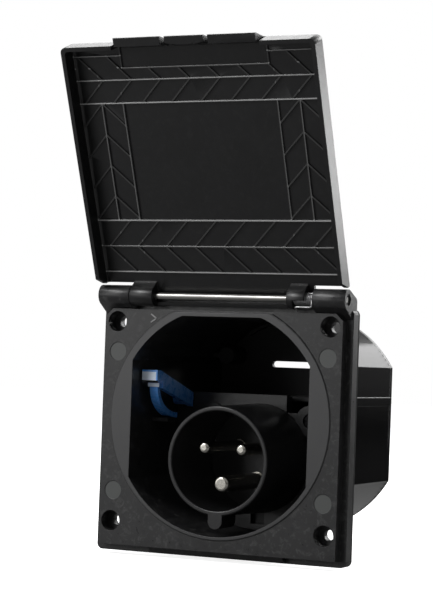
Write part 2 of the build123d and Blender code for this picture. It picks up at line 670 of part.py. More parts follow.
# Torsion spring of the lid: close-wound coils on the rod, a leg on the panel and a tail in the lid
with BuildPart() as lid_spring:
    coils = round((SPRING_END - SPRING_START) / SPRING_WIRE)
    pitch = (SPRING_END - SPRING_START) / coils
    axis_plane = Plane(origin=(0, HINGE_Y, HINGE_Z), x_dir=(1, 0, 0), z_dir=(0, -1, 0))
    with BuildSketch(axis_plane):
        with BuildLine():
            crests = [(SPRING_START, SPRING_R - SPRING_WIRE), (SPRING_START, SPRING_R - SPRING_GROOVE)]
            for coil in range(coils):
                crests.append((SPRING_START + (coil + 0.5) * pitch, SPRING_R))
                crests.append((SPRING_START + (coil + 1) * pitch, SPRING_R - SPRING_GROOVE))
            crests.append((SPRING_END, SPRING_R - SPRING_WIRE))
            Polyline(*crests, close=True)
        make_face()
    revolve(axis=Axis((0, HINGE_Y, HINGE_Z), (1, 0, 0)))
    leg_r = SPRING_WIRE / 2
    leg_x = SPRING_END - pitch
    leg_reach = SPRING_R - leg_r
    leg_y = HINGE_Y - leg_reach
    with BuildLine() as fixed_leg:
        FilletPolyline(
            (leg_x, leg_y, HINGE_Z),
            (leg_x, leg_y, SPRING_LEG_Z),
            (SPRING_START + SPRING_FOOT_GAP, leg_y, SPRING_LEG_Z),
            (SPRING_START + SPRING_FOOT_GAP, PANEL_FRONT + SPRING_FOOT, PANEL_TOP + leg_r),
            radius=SPRING_WIRE,
        )
    with BuildSketch(Plane.XY.offset(HINGE_Z)):
        with Locations((leg_x, leg_y)):
            Circle(leg_r)
    sweep(path=fixed_leg.wires()[0])
    with BuildSketch(lid_section(SPRING_START + SPRING_WIRE)):
        with Locations((0, leg_reach)):
            Circle(leg_r)
    extrude(amount=-SPRING_WIRE - SPRING_TAIL)
lid_spring.part.label = "lid_spring"

# Contact carrier: base plate, shroud with its key, and screw bosses
with BuildPart() as contact_carrier:
    with BuildSketch(at_y(BASE_BACK)):
        recess_outline(-BASE_CLEARANCE)
        box_across(-OPENING_R, OPENING_R, BASE_TOP, OPENING_R, mode=Mode.SUBTRACT)
        box_across(BASE_STEP_X, OPENING_R, BASE_STEP_Z, OPENING_R, mode=Mode.SUBTRACT)
        with Locations(*CARRIER_SCREW_PLACES):
            Circle(CARRIER_BOSS_R)
        recess_outline(-BASE_CLEARANCE, Mode.INTERSECT)
        window_top = SHROUD_Z - SHROUD_BASE_R
        box_across(-KEY_W / 2, KEY_W / 2, window_top - KEY_WINDOW_DROP, window_top, mode=Mode.SUBTRACT)
    extrude(amount=BASE_T)
    with BuildSketch(at_y(BASE_FRONT)):
        with Locations(*CARRIER_SCREW_PLACES):
            Circle(CARRIER_BOSS_R)
        recess_outline(-BASE_CLEARANCE, Mode.INTERSECT)
    extrude(amount=CARRIER_BOSS_RISE)
    with BuildSketch(at_x(0)) as shroud_half:
        with BuildLine():
            Polyline(
                (BASE_FRONT, SHROUD_Z),
                (BASE_FRONT, SHROUD_Z + SHROUD_BASE_R),
                (SHROUD_RIM_Y, SHROUD_Z + SHROUD_RIM_R),
                (SHROUD_RIM_Y, SHROUD_Z + SHROUD_RIM_R - SHROUD_WALL),
                (SHROUD_FLOOR_Y, SHROUD_Z + SHROUD_BASE_R - SHROUD_WALL),
                (SHROUD_FLOOR_Y, SHROUD_Z),
                close=True,
            )
        make_face()
        fillet(shroud_half.vertices().group_by(Axis.X)[0], SHROUD_RIM_ROUND)
    revolve(axis=Axis((0, 0, SHROUD_Z), (0, 1, 0)))
    with BuildSketch(at_y(SHROUD_RIM_Y + KEY_L)):
        key_end = SHROUD_Z - KEY_REACH + KEY_W / 2
        box_across(-KEY_W / 2, KEY_W / 2, key_end, SHROUD_Z - SHROUD_RIM_R + SHROUD_WALL / 2)
        with Locations((0, key_end)):
            Circle(KEY_W / 2)
    extrude(amount=KEY_L)
    with Locations(at_y(BASE_FRONT - CARRIER_BOSS_RISE)):
        with Locations(*CARRIER_SCREW_PLACES):
            CounterBoreHole(SCREW_R + SCREW_FIT, CARRIER_RECESS_R, CARRIER_RECESS)
    for pin_x, pin_z, pin_r in PINS.values():
        with Locations(at_y(SHROUD_FLOOR_Y)):
            with Locations((pin_x, pin_z)):
                Hole(pin_r + PIN_SHANK_STEP + PIN_FIT)
    with BuildSketch(at_y(BASE_BACK)):
        with Locations((0, SHROUD_Z)):
            Circle(SCREW_R + SCREW_FIT)
    extrude(amount=RETAINER_HOLE_DEPTH, mode=Mode.SUBTRACT)
contact_carrier.part.label = "contact_carrier"

with BuildPart() as carrier_screws:
    with Locations(at_y(BASE_FRONT - CARRIER_BOSS_RISE + CARRIER_RECESS)):
        with Locations(*CARRIER_SCREW_PLACES):
            slotted_screw(SCREW_L, SCREW_R, SCREW_HEAD_R)
carrier_screws.part.label = "carrier_screws"

# Contact pins: round tip, shank in the carrier, collar behind it, and a bored tail for the wire
pins = {}
for name, (pin_x, pin_z, pin_r) in PINS.items():
    outwards = Vector(pin_x, 0, pin_z - SHROUD_Z).normalized()
    with BuildPart() as pin:
        with BuildSketch(at_y(BASE_BACK)):
            with Locations((pin_x, pin_z)):
                Circle(pin_r)
        extrude(amount=BASE_BACK - PIN_TIP_Y)
        fillet(pin.faces().sort_by(Axis.Y)[0].edges(), PIN_TIP_R)
        with BuildSketch(at_y(BASE_BACK)):
            with Locations((pin_x, pin_z)):
                Circle(pin_r + PIN_SHANK_STEP)
        extrude(amount=BASE_BACK - SHROUD_FLOOR_Y + PIN_NECK)
        with BuildSketch(at_y(COLLAR_BACK)):
            with Locations((pin_x, pin_z)):
                Circle(PIN_COLLAR_R)
        extrude(amount=PIN_COLLAR_T)
        with BuildSketch(at_y(COLLAR_BACK + PIN_TAIL_L)):
            with Locations((pin_x, pin_z)):
                Circle(PIN_TAIL_R)
        extrude(amount=PIN_TAIL_L)
        with BuildSketch(at_y(COLLAR_BACK + PIN_TAIL_L)):
            with Locations((pin_x, pin_z)):
                Circle(WIRE_R)
        extrude(amount=WIRE_DEPTH, mode=Mode.SUBTRACT)
        with BuildSketch(Plane(origin=(pin_x, COLLAR_BACK + TERMINAL_PLACE, pin_z), z_dir=outwards)):
            Circle(TERMINAL_SCREW_R + SCREW_FIT)
        extrude(amount=PIN_TAIL_R, mode=Mode.SUBTRACT)
    pin.part.label = name
    pins[name] = pin.part

with BuildPart() as terminal_screws:
    for pin_x, pin_z, pin_r in PINS.values():
        outwards = Vector(pin_x, 0, pin_z - SHROUD_Z).normalized()
        seat = Vector(pin_x, COLLAR_BACK + TERMINAL_PLACE, pin_z) + outwards * PIN_TAIL_R
        with Locations(Plane(origin=seat, z_dir=outwards)):
            slotted_screw(TERMINAL_SCREW_L, TERMINAL_SCREW_R, TERMINAL_HEAD_R)
terminal_screws.part.label = "terminal_screws"

# Plate that holds the three pins in from behind, with one screw
with BuildPart() as pin_retainer:
    with BuildSketch(at_y(COLLAR_BACK + RETAINER_T)):
        half_w = BULKHEAD_HALF_WINDOW - RETAINER_MARGIN
        box_across(-half_w, half_w, WINDOW_BOTTOM + RETAINER_MARGIN, WINDOW_TOP - RETAINER_MARGIN)
        for pin_x, pin_z, pin_r in PINS.values():
            with Locations((pin_x, pin_z)):
                Circle(PIN_TAIL_R + HINGE_FIT, mode=Mode.SUBTRACT)
        with Locations((0, SHROUD_Z)):
            Circle(SCREW_R + SCREW_FIT, mode=Mode.SUBTRACT)
    extrude(amount=RETAINER_T)
pin_retainer.part.label = "pin_retainer"

with BuildPart() as retainer_screw:
    with Locations(Plane(origin=(0, COLLAR_BACK + RETAINER_T, SHROUD_Z), z_dir=(0, 1, 0))):
        slotted_screw(RETAINER_SCREW_L, SCREW_R, SCREW_HEAD_R)
retainer_screw.part.label = "retainer_screw"

# Rear cover with its vent slot, cable entry and clamp shelf
with BuildPart() as rear_cover:
    with BuildSketch(at_y(COVER_BACK)):
        recess_outline(BOX_WALL)
        with Locations((0, VENT_Z)):
            SlotOverall(VENT_W, VENT_H, mode=Mode.SUBTRACT)
        with Locations((0, ENTRY_Z)):
            Circle(ENTRY_R, mode=Mode.SUBTRACT)
        with Locations(*PILLAR_PLACES):
            Circle(SCREW_R + SCREW_FIT, mode=Mode.SUBTRACT)
    extrude(amount=COVER_T)
    with BuildSketch(at_y(BOX_DEPTH)):
        recess_outline(-COVER_LIP_GAP)
        recess_outline(-COVER_LIP_GAP - COVER_LIP_T, Mode.SUBTRACT)
        box_across(-COVER_LIP_HALF_W, COVER_LIP_HALF_W, -OPENING_R, OPENING_R, mode=Mode.INTERSECT)
    extrude(amount=COVER_LIP)
    with BuildSketch(at_y(BOX_DEPTH)):
        box_across(-CLAMP_SHELF_W / 2, CLAMP_SHELF_W / 2, CLAMP_SHELF_TOP - CLAMP_SHELF_T, CLAMP_SHELF_TOP)
    extrude(amount=CLAMP_SHELF_L)
    with BuildSketch(Plane.XY.offset(CLAMP_SHELF_TOP)):
        with Locations((-CLAMP_POST_X, CLAMP_Y), (CLAMP_POST_X, CLAMP_Y)):
            Circle(CLAMP_POST_R)
    extrude(amount=CLAMP_POST_H)
    with Locations(*((x, CLAMP_Y, CLAMP_BAR_Z) for x in (-CLAMP_POST_X, CLAMP_POST_X))):
        Cylinder(SCREW_R + SCREW_FIT, 2 * CLAMP_SCREW_L, mode=Mode.SUBTRACT)
    # Relief in the shelf for the inner lip of the grommet
    with BuildSketch(at_y(BOX_DEPTH)):
        with Locations((0, ENTRY_Z)):
            Circle(ENTRY_R + GROMMET_LIP + CLAMP_LIP_GAP)
    extrude(amount=GROMMET_LIP_T + CLAMP_LIP_GAP, mode=Mode.SUBTRACT)
rear_cover.part.label = "rear_cover"

with BuildPart() as cover_screws:
    with Locations(Plane(origin=(0, COVER_BACK, 0), x_dir=(1, 0, 0), z_dir=(0, 1, 0))):
        with Locations(*PILLAR_PLACES):
            slotted_screw(SCREW_L, SCREW_R, SCREW_HEAD_R)
cover_screws.part.label = "cover_screws"

# Rubber grommet in the cable entry
with BuildPart() as cable_grommet:
    with BuildSketch(at_x(0)):
        with BuildLine():
            lip_r = ENTRY_R + GROMMET_LIP
            Polyline(
                (BOX_DEPTH - GROMMET_LIP_T, ENTRY_Z + GROMMET_BORE_R),
                (BOX_DEPTH - GROMMET_LIP_T, ENTRY_Z + lip_r),
                (BOX_DEPTH, ENTRY_Z + lip_r),
                (BOX_DEPTH, ENTRY_Z + ENTRY_R - PIN_FIT),
                (COVER_BACK, ENTRY_Z + ENTRY_R - PIN_FIT),
                (COVER_BACK, ENTRY_Z + lip_r),
                (COVER_BACK + GROMMET_LIP_T, ENTRY_Z + lip_r - GROMMET_LIP_T / 2),
                (COVER_BACK + GROMMET_LIP_T, ENTRY_Z + GROMMET_BORE_R),
                close=True,
            )
        make_face()
    revolve(axis=Axis((0, 0, ENTRY_Z), (0, 1, 0)))
cable_grommet.part.label = "cable_grommet"

# Clamp bar over the cable path, closed down on its posts, and its two screws
with BuildPart() as cable_clamp:
    with BuildSketch(at_y(CLAMP_Y + CLAMP_W / 2)):
        box_across(-CLAMP_SHELF_W / 2, CLAMP_SHELF_W / 2, CLAMP_BAR_Z, CLAMP_BAR_Z + CLAMP_T)
        with Locations((0, CLAMP_BAR_Z - CLAMP_SADDLE_R + CLAMP_SADDLE_DEPTH)):
            Circle(CLAMP_SADDLE_R, mode=Mode.SUBTRACT)
    extrude(amount=CLAMP_W)
    with Locations(*((x, CLAMP_Y, CLAMP_BAR_Z) for x in (-CLAMP_POST_X, CLAMP_POST_X))):
        Cylinder(SCREW_R + SCREW_FIT, 2 * CLAMP_SCREW_L, mode=Mode.SUBTRACT)
cable_clamp.part.label = "cable_clamp"

with BuildPart() as clamp_screws:
    with Locations(*((x, CLAMP_Y, CLAMP_BAR_Z + CLAMP_T) for x in (-CLAMP_POST_X, CLAMP_POST_X))):
        slotted_screw(CLAMP_SCREW_L, SCREW_R, SCREW_HEAD_R)
clamp_screws.part.label = "clamp_screws"

# Release lever: square nose on a sloping web, turning on a pin near its back end
with BuildPart() as release_lever:
    nose_low = LEVER_TOP_Z - LEVER_NOSE_H
    with BuildSketch(at_x(LEVER_RIGHT)):
        with BuildLine():
            Polyline(
                (LEVER_NOSE_Y, nose_low),
                (LEVER_NOSE_Y, LEVER_TOP_Z),
                (LEVER_CREST_Y, LEVER_TOP_Z),
                (LEVER_WEB_END_Y, LEVER_WEB_END_TOP),
                (LEVER_WEB_END_Y, LEVER_WEB_END_LOW),
                (LEVER_CHIN_Y, LEVER_CHIN_Z),
                (LEVER_CHIN_Y, nose_low),
                close=True,
            )
        make_face()
    extrude(amount=-LEVER_WEB_T)
    with BuildSketch(at_x(LEVER_LEFT)):
        with BuildLine():
            Polyline(
                (LEVER_NOSE_Y, nose_low),
                (LEVER_NOSE_Y, LEVER_TOP_Z),
                (LEVER_CREST_Y, LEVER_TOP_Z),
                (LEVER_WEB_END_Y, LEVER_WEB_END_TOP),
                (LEVER_WEB_END_Y, nose_low - LEVER_TOP_Z),
                (LEVER_NOSE_Y, nose_low - LEVER_TOP_Z),
                close=True,
            )
        make_face()
        box_across(LEVER_NOSE_Y, LEVER_NOSE_Y + LEVER_NOSE_L, nose_low, LEVER_TOP_Z, mode=Mode.INTERSECT)
        with Locations((LEVER_PIVOT_Y, LEVER_PIVOT_Z)):
            Circle(LEVER_HUB_R)
    extrude(amount=LEVER_W)
    with BuildSketch(at_x(LEVER_LEFT)):
        with Locations((LEVER_PIVOT_Y, LEVER_PIVOT_Z)):
            Circle(LEVER_PIN_R + LEVER_PIN_FIT)
    extrude(amount=LEVER_W - LEVER_PIN_SKIN, mode=Mode.SUBTRACT)
release_lever.part.label = "release_lever"

with BuildPart() as lever_pin:
    with BuildSketch(at_x(-OPENING_HALF_W - BOX_WALL / 2 + PIN_FIT)):
        with Locations((LEVER_PIVOT_Y, LEVER_PIVOT_Z)):
            Circle(LEVER_PIN_R)
    extrude(amount=BOX_WALL / 2 + LEVER_WALL_GAP + LEVER_W - LEVER_PIN_SKIN - LEVER_BOSS_GAP)
lever_pin.part.label = "lever_pin"

# Leaf spring: head under the lever nose, curving down to its ledge
with BuildPart() as lever_spring:
    with BuildSketch(at_x(LEAF_X - LEAF_W / 2)):
        with BuildLine():
            start_y = LEAF_HEAD_Y + LEAF_HEAD_L - LEAF_T / 2
            reach = LEAF_TIP_Y - start_y
            drop = LEAF_HEAD_Z - LEAF_TIP_Z
            centre = (LEAF_TIP_Y, LEAF_HEAD_Z)
            edges = []
            for half_t in (LEAF_T / 2, -LEAF_T / 2):
                arc = EllipticalCenterArc(
                    centre, reach + half_t, drop + half_t, LEAF_ARC_START, arc_size=LEAF_ARC
                )
                edges.append(arc)
            Line(edges[0] @ 0, edges[1] @ 0)
            Line(edges[0] @ 1, edges[1] @ 1)
        make_face()
    extrude(amount=LEAF_W)
    with BuildSketch(at_x(LEAF_X - LEAF_HEAD_W / 2)):
        box_across(LEAF_HEAD_Y, LEAF_HEAD_Y + LEAF_HEAD_L, LEAF_HEAD_Z, LEAF_HEAD_Z + LEAF_HEAD_T)
    extrude(amount=LEAF_HEAD_W)
lever_spring.part.label = "lever_spring"

# One STEP file for each piece
os.makedirs("parts", exist_ok=True)
pieces = [
    housing.part,
    wall_gasket.part,
    hinge_rod.part,
    lid.part,
    lid_spring.part,
    contact_carrier.part,
    carrier_screws.part,
    *pins.values(),
    terminal_screws.part,
    pin_retainer.part,
    retainer_screw.part,
    rear_cover.part,
    cover_screws.part,
    cable_grommet.part,
    cable_clamp.part,
    clamp_screws.part,
    release_lever.part,
    lever_pin.part,
    lever_spring.part,
]
for piece in pieces:
    export_step(piece, f"parts/{piece.label}.step")
    print(piece.label, len(piece.solids()), round(piece.volume))
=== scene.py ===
"""Looks of a caravan power inlet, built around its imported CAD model.

The part is a square black flange with a sprung flap lid, a round recess with a
shrouded three-pin contact, a blue release lever and a deep box behind it. All
lengths are in metres in the CAD model's own frame: X to the right seen from
outside, Y into the wall, Z up.
"""

import logging
import math
from dataclasses import dataclass, field
from enum import Enum
from functools import cache

import bmesh
import bpy
from mathutils import Matrix, Vector

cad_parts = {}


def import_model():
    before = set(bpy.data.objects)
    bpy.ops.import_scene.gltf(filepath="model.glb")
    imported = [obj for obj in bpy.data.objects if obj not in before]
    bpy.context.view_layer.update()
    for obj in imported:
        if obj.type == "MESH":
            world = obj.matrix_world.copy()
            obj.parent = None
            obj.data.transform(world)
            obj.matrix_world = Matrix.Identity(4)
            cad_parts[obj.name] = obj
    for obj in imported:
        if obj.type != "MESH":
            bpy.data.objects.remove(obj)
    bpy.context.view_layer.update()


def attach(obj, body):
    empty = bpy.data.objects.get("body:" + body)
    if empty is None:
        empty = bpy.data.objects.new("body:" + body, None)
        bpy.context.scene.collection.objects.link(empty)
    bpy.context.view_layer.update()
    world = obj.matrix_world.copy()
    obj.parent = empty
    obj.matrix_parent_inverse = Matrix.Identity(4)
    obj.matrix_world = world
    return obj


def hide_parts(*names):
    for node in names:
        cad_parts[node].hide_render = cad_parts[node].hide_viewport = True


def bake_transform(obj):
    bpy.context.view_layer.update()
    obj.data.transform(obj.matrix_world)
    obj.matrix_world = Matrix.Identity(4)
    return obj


LOG = logging.getLogger("power_inlet")

MM = 0.001
HINGE_Y_MM = -11.5
HINGE_Z_MM = 52.5
LID_LEAN_DEG = 22.5


class Axis(Enum):
    """The direction that a drawn or turned surface's lines run along."""

    X = 0
    Z = 2


class Side(Enum):
    """The side of a limit that a zone lies on."""

    BELOW = "LESS_THAN"
    ABOVE = "GREATER_THAN"


def linear(colour: str) -> tuple[float, float, float, float]:
    """Turns an sRGB hex colour to linear light.

    Args:
        colour: Six hex digits, such as "1f4f93".

    Returns:
        Red, green, blue and an alpha of 1.
    """
    channels = []
    for start in (0, 2, 4):
        value = int(colour[start : start + 2], 16) / 255
        channels.append(value / 12.92 if value <= 0.04045 else ((value + 0.055) / 1.055) ** 2.4)
    return (channels[0], channels[1], channels[2], 1.0)


def add_node(
    tree: bpy.types.NodeTree,
    kind: str,
    settings: dict[str, object] | None = None,
    links: dict[str, bpy.types.NodeSocket] | None = None,
) -> bpy.types.Node:
    """Adds a node with its settings and links.

    Args:
        tree: The node tree it goes in.
        kind: The node's type, without the leading "ShaderNode".
        settings: Values by name. A name in lower case is the node's own attribute,
            and any other is an input's name or number.
        links: Input names or numbers and the sockets that feed them.

    Returns:
        The new node.
    """
    node = tree.nodes.new("ShaderNode" + kind)
    for name, value in (settings or {}).items():
        if hasattr(node, name) and name.islower():
            setattr(node, name, value)
        else:
            key = int(name) if name.isdigit() else name
            node.inputs[key].default_value = value
    for name, socket in (links or {}).items():
        key = int(name) if name.isdigit() else name
        tree.links.new(socket, node.inputs[key])
    return node


def ramp(node: bpy.types.Node, stops: list[tuple[float, str]]) -> bpy.types.Node:
    """Sets the stops of a colour ramp.

    Args:
        node: A ColorRamp node.
        stops: Positions and sRGB hex colours, in order.

    Returns:
        The same node.
    """
    elements = node.color_ramp.elements
    while len(elements) < len(stops):
        elements.new(0.5)
    for element, (position, colour) in zip(elements, stops):
        element.position = position
        element.color = linear(colour)
    return node


def start_material(name: str) -> tuple[bpy.types.Material, bpy.types.NodeTree, bpy.types.Node]:
    """Starts an empty node material.

    Args:
        name: The real material's name.

    Returns:
        The material, its tree and its Principled shader.
    """
    material = bpy.data.materials.new(name)
    material.use_nodes = True
    tree = material.node_tree
    tree.nodes.clear()
    shader = add_node(tree, "BsdfPrincipled")
    add_node(tree, "OutputMaterial", links={"Surface": shader.outputs["BSDF"]})
    return material, tree, shader


def overlap(tree: bpy.types.NodeTree, masks: list[bpy.types.NodeSocket]) -> bpy.types.NodeSocket:
    """Finds where all of several masks hold.

    Args:
        tree: The material's node tree.
        masks: Sockets that are 1 inside and 0 outside.

    Returns:
        A socket that is 1 where all of them are.
    """
    shared = masks[0]
    for mask in masks[1:]:
        product = add_node(tree, "Math", {"operation": "MULTIPLY"}, {"0": shared, "1": mask})
        shared = product.outputs["Value"]
    return shared


def where(
    tree: bpy.types.NodeTree, tests: list[tuple[bpy.types.NodeSocket, Side, float]]
) -> bpy.types.NodeSocket:
    """Finds where a point lies on the given side of each limit.

    Args:
        tree: The material's node tree.
        tests: A length, the side that counts, and the limit in millimetres, for each.

    Returns:
        A socket that is 1 where all hold and 0 elsewhere.
    """
    masks = []
    for length, side, limit_mm in tests:
        test = add_node(
            tree, "Math", {"operation": side.value, "1": limit_mm * MM}, {"0": length}
        )
        masks.append(test.outputs["Value"])
    return overlap(tree, masks)


def lay_zones(
    tree: bpy.types.NodeTree,
    zones: list[tuple[bpy.types.NodeSocket, str, float | None]],
    colour: bpy.types.NodeSocket,
    roughness: bpy.types.NodeSocket,
) -> tuple[bpy.types.NodeSocket, bpy.types.NodeSocket]:
    """Lays zones with a finish of their own over a surface, one after another.

    Args:
        tree: The material's node tree.
        zones: A mask, an sRGB hex colour, and a roughness or None to keep it, for each.
        colour: The surface's colour.
        roughness: The surface's roughness.

    Returns:
        The colour and the roughness sockets to use.
    """
    for mask, zone_colour, zone_roughness in zones:
        tinted = add_node(
            tree,
            "Mix",
            {"data_type": "RGBA", "7": linear(zone_colour)},
            {"0": mask, "6": colour},
        )
        colour = tinted.outputs[2]
        if zone_roughness is not None:
            worked = add_node(
                tree,
                "Mix",
                {"data_type": "FLOAT", "3": zone_roughness},
                {"0": mask, "2": roughness},
            )
            roughness = worked.outputs[0]
    return colour, roughness


@dataclass(frozen=True)
class MouldedPlastic:
    """Injection-moulded plastic with a spark-eroded grain.

    The grain gives the eye soft, slightly broken reflections, and the polymer
    flow gives faint clouds in the gloss. Real grain is under 0.1 mm, so it is
    drawn coarser here to show.
    """

    name: str
    colour: str
    cloud_colour: str
    roughness: float
    roughness_spread: float = 0.08
    grain_mm: float = 0.55
    grain_depth_mm: float = 0.02
    cloud_mm: float = 14.0
    scuff_mm: float = 2.6
    scuff_colour: str = "2e2e2f"
    scuff_share: float = 0.35
    cloud_from: float = 0.35
    cloud_to: float = 0.7
    scuff_from: float = 0.52
    scuff_to: float = 0.7
    gloss_from: float = 0.3
    gloss_to: float = 0.7
    edge_r_mm: float = 0.3
    ior: float = 1.53
    specular: float = 0.5

    def build(self) -> bpy.types.Material:
        """Builds the node material."""
        material, tree, shader = start_material(self.name)
        shader.inputs["IOR"].default_value = self.ior
        shader.inputs["Specular IOR Level"].default_value = self.specular
        place = add_node(tree, "TexCoord").outputs["Object"]
        clouds = add_node(
            tree,
            "TexNoise",
            {"Scale": 1 / (self.cloud_mm * MM), "Detail": 4.0, "Roughness": 0.6},
            {"Vector": place},
        )
        tint = ramp(
            add_node(tree, "ValToRGB", links={"Fac": clouds.outputs["Fac"]}),
            [(self.cloud_from, self.colour), (self.cloud_to, self.cloud_colour)],
        )
        scuffs = add_node(
            tree,
            "TexNoise",
            {
                "Scale": 1 / (self.scuff_mm * MM),
                "Detail": 5.0,
                "Roughness": 0.68,
                "Distortion": 0.6,
            },
            {"Vector": place},
        )
        worn = add_node(
            tree,
            "MapRange",
            {
                "From Min": self.scuff_from,
                "From Max": self.scuff_to,
                "To Min": 0.0,
                "To Max": self.scuff_share,
            },
            {"Value": scuffs.outputs["Fac"]},
        )
        surface = add_node(
            tree,
            "Mix",
            {"data_type": "RGBA", "7": linear(self.scuff_colour)},
            {"0": worn.outputs["Result"], "6": tint.outputs["Color"]},
        )
        gloss = add_node(
            tree,
            "MapRange",
            {
                "From Min": self.gloss_from,
                "From Max": self.gloss_to,
                "To Min": self.roughness - self.roughness_spread / 2,
                "To Max": self.roughness + self.roughness_spread / 2,
            },
            {"Value": scuffs.outputs["Fac"]},
        )
        colour, roughness = self.zones(tree, place, surface.outputs[2], gloss.outputs["Result"])
        tree.links.new(colour, shader.inputs["Base Color"])
        tree.links.new(roughness, shader.inputs["Roughness"])
        grain = add_node(
            tree,
            "TexNoise",
            {"Scale": 1 / (self.grain_mm * MM), "Detail": 3.0, "Roughness": 0.55},
            {"Vector": place},
        )
        edge = add_node(tree, "Bevel", {"samples": 4, "Radius": self.edge_r_mm * MM})
        bump = add_node(
            tree,
            "Bump",
            {"Strength": 1.0, "Distance": self.grain_depth_mm * MM},
            {"Height": grain.outputs["Fac"], "Normal": edge.outputs["Normal"]},
        )
        tree.links.new(bump.outputs["Normal"], shader.inputs["Normal"])
        return material

    def zones(
        self,
        tree: bpy.types.NodeTree,
        place: bpy.types.NodeSocket,
        colour: bpy.types.NodeSocket,
        roughness: bpy.types.NodeSocket,
    ) -> tuple[bpy.types.NodeSocket, bpy.types.NodeSocket]:
        """Leaves the colour and roughness as they are; a moulding with several faces changes them.

        Args:
            tree: The material's node tree.
            place: The point on the moulding.
            colour: The colour so far.
            roughness: The roughness so far.

        Returns:
            The colour and the roughness sockets to use.
        """
        return colour, roughness


@dataclass(frozen=True)
class FlangeAndBoxPlastic(MouldedPlastic):
    """Plastic of the housing: its mould had a polished box core and outside, and an etched face.

    The ring round the recess is smoother than the panel, the recess is dull, with painted shade
    that deepens with depth into it, and the outside of the box is glossy, with its colour darkened
    as painted shade.
    """

    ring_colour: str = "3d3d3e"
    ring_roughness: float = 0.32
    # painted shade: the recess colour comes in with depth and stands in for the shade inside the
    # recess; its dull roughness is real
    recess_shade_colour: str = "202021"
    recess_roughness: float = 0.5
    # painted shade: the box outside's darker colour stands in for the shade on its sides; its low
    # roughness is the real polished finish
    box_shade_colour: str = "0a0a0b"
    box_roughness: float = 0.1
    disc_colour: str = "4e504f"
    disc_roughness: float = 0.45
    disc_r_mm: float = 3.9
    disc_x_mm: float = 48.4
    disc_z_mm: tuple[float, float] = (-31.0, 28.5)
    ring_r_mm: float = 50.7
    recess_r_mm: float = 48.2
    recess_half_w_mm: float = 41.2
    ring_front_mm: float = -11.7
    recess_from_mm: tuple[float, float] = (2.0, 18.0)
    box_from_mm: float = 0.5
    panel_from_mm: float = -10.0

    def zones(
        self,
        tree: bpy.types.NodeTree,
        place: bpy.types.NodeSocket,
        colour: bpy.types.NodeSocket,
        roughness: bpy.types.NodeSocket,
    ) -> tuple[bpy.types.NodeSocket, bpy.types.NodeSocket]:
        """Mixes in the ring, the recess with its painted shade that deepens inwards, and the
        outside of the box with its painted shade.

        Args:
            tree: The material's node tree.
            place: The point on the moulding.
            colour: The panel's colour.
            roughness: The panel's roughness.

        Returns:
            The colour and the roughness sockets to use.
        """
        parts = add_node(tree, "SeparateXYZ", links={"Vector": place}).outputs
        across = add_node(
            tree, "Math", {"operation": "ABSOLUTE"}, {"0": parts["X"]}
        ).outputs["Value"]
        flat = add_node(tree, "CombineXYZ", links={"X": across, "Z": parts["Z"]}).outputs["Vector"]
        radius = add_node(tree, "VectorMath", {"operation": "LENGTH"}, {"0": flat}).outputs["Value"]
        depth = parts["Y"]
        ring = where(
            tree,
            [(radius, Side.BELOW, self.ring_r_mm), (depth, Side.BELOW, self.ring_front_mm)],
        )
        within = where(
            tree,
            [(radius, Side.BELOW, self.recess_r_mm), (across, Side.BELOW, self.recess_half_w_mm)],
        )
        # painted shade: blends the recess colour in from 2 mm to 18 mm deep, so the recess darkens
        # inwards
        shade_deepening = add_node(
            tree,
            "MapRange",
            {"From Min": self.recess_from_mm[0] * MM, "From Max": self.recess_from_mm[1] * MM},
            {"Value": depth},
        ).outputs["Result"]
        outside = add_node(
            tree, "Math", {"operation": "SUBTRACT", "0": 1.0}, {"1": within}
        ).outputs["Value"]
        # the outside of the box, whose darker colour is painted shade and whose gloss is real
        behind = where(tree, [(depth, Side.ABOVE, self.box_from_mm)])
        zones = []
        for disc_z in self.disc_z_mm:
            centre = (self.disc_x_mm * MM, 0.0, disc_z * MM)
            away = add_node(
                tree, "VectorMath", {"operation": "DISTANCE", "1": centre}, {"0": flat}
            ).outputs["Value"]
            disc = where(
                tree,
                [(away, Side.BELOW, self.disc_r_mm), (depth, Side.BELOW, self.panel_from_mm)],
            )
            zones.append((disc, self.disc_colour, self.disc_roughness))
        recess, box = overlap(tree, [within, shade_deepening]), overlap(tree, [outside, behind])
        zones.append((ring, self.ring_colour, self.ring_roughness))
        zones.append((recess, self.recess_shade_colour, self.recess_roughness))
        zones.append((box, self.box_shade_colour, self.box_roughness))
        return lay_zones(tree, zones, colour, roughness)


